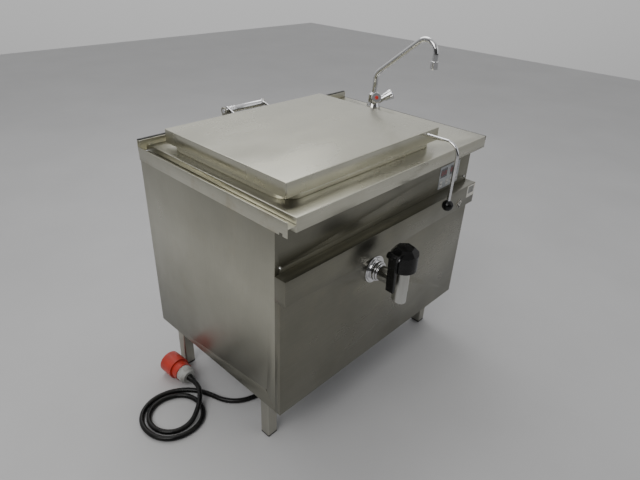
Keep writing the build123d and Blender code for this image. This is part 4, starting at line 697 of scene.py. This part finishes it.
# Strain reliefs narrow from the gland's or the nut's mouth to just over the cord.
RELIEF_WIDE, RELIEF_NARROW = 0.0135, 0.0098
PLUG_RELIEF_LEN, GLAND_RELIEF_LEN = 0.028, 0.024
plug_relief = tapered_sleeve(
    "plug_strain_relief",
    plug_entry,
    -plug_dir,
    PLUG_RELIEF_LEN,
    RELIEF_WIDE,
    RELIEF_NARROW,
    "cord_rubber",
)
tapered_sleeve(
    "gland_strain_relief",
    Vector(cord_points[0]),
    (0, 0, -1),
    GLAND_RELIEF_LEN,
    RELIEF_WIDE,
    RELIEF_NARROW,
    "black_matte",
)
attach(cord, "cabinet")
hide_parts("power_cable")

# ---------------------------------------------------------------- stage, light and camera
FLOOR_SIZE = 14.0
floor_mesh = bpy.data.meshes.new("floor")
floor_mesh.from_pydata(
    [(x * FLOOR_SIZE / 2, y * FLOOR_SIZE / 2, -0.0005) for x, y in ((-1, -1), (1, -1), (1, 1), (-1, 1))],
    [],
    [(0, 1, 2, 3)],
)
floor = bpy.data.objects.new("floor", floor_mesh)
bpy.context.collection.objects.link(floor)
floor_material, floor_tree, floor_shader = new_material("floor_pale")
floor_cloud = add_noise(floor_tree, (1.0, 1.0, 1.0), 1.6, 5.0)
floor_tone = add_mix(
    floor_tree, add_range(floor_tree, floor_cloud, 0.0, 1.0), (0.50, 0.50, 0.505), (0.46, 0.46, 0.465)
)
floor_tree.links.new(floor_tone, floor_shader.inputs["Base Color"])
floor_shader.inputs["Roughness"].default_value = 0.55
floor_mesh.materials.append(floor_material)

scene = bpy.context.scene
world = bpy.data.worlds.new("studio")
scene.world = world
world.use_nodes = True
background = world.node_tree.nodes["Background"]
# A studio dome: dim behind the viewer, bright above and beyond the object.
DOME_BRIGHT_SIDE = (0.45, 0.50, 0.74)
DOME_STOPS = ((0.0, 0.04), (0.30, 0.07), (0.50, 0.26), (0.75, 0.68), (1.0, 1.02))
sky_coords = world.node_tree.nodes.new("ShaderNodeTexCoord")
sky_side = world.node_tree.nodes.new("ShaderNodeVectorMath")
sky_side.operation = "DOT_PRODUCT"
sky_side.inputs[1].default_value = DOME_BRIGHT_SIDE
sky_ramp = world.node_tree.nodes.new("ShaderNodeValToRGB")
world.node_tree.links.new(sky_coords.outputs["Generated"], sky_side.inputs[0])
sky_share = add_range(world.node_tree, sky_side.outputs["Value"], 0.0, 1.0, -1.0, 1.0)
world.node_tree.links.new(sky_share, sky_ramp.inputs["Fac"])
world.node_tree.links.new(sky_ramp.outputs["Color"], background.inputs["Color"])
while len(sky_ramp.color_ramp.elements) < len(DOME_STOPS):
    sky_ramp.color_ramp.elements.new(0.5)
for stop, (place, level) in zip(sky_ramp.color_ramp.elements, DOME_STOPS):
    stop.position = place
    stop.color = (level, level, level, 1.0)
background.inputs["Strength"].default_value = 0.8


def area_light(name, place, target, size, power, colour=(1.0, 1.0, 1.0)):
    """A soft square light at a place, aimed at a target."""
    data = bpy.data.lights.new(name, "AREA")
    data.shape = "SQUARE"
    data.size = size
    data.energy = power
    data.color = colour
    light = bpy.data.objects.new(name, data)
    bpy.context.collection.objects.link(light)
    light.location = place
    light.rotation_mode = "QUATERNION"
    light.rotation_quaternion = (Vector(target) - Vector(place)).to_track_quat("-Z", "Y")
    return light


AIM = (0.0, 0.05, 0.6)
area_light("key", (-2.8, -0.6, 3.0), AIM, 2.2, 60.0, (1.0, 0.99, 0.97))
area_light("fill", (1.8, -3.2, 2.2), AIM, 2.6, 16.0, (0.98, 0.99, 1.0))
area_light("top", (0.6, 1.6, 3.4), AIM, 2.4, 40.0)

CAMERA_PLACE = (-1.2891, -1.1090, 1.5011)
CAMERA_RIGHT = Vector((0.69089, -0.72196, 0.03812))
CAMERA_FORWARD = Vector((0.63770, 0.58372, -0.50260))
CAMERA_UP = CAMERA_RIGHT.cross(CAMERA_FORWARD)
camera_data = bpy.data.cameras.new("camera")
camera_data.sensor_width = 36.0
camera_data.lens = 29.28
camera_data.shift_y = 0.003
camera = bpy.data.objects.new("camera", camera_data)
bpy.context.collection.objects.link(camera)
camera.rotation_mode = "QUATERNION"
camera.location = CAMERA_PLACE
camera.rotation_quaternion = Matrix(
    (CAMERA_RIGHT, CAMERA_UP, -CAMERA_FORWARD)
).transposed().to_quaternion()
scene.camera = camera
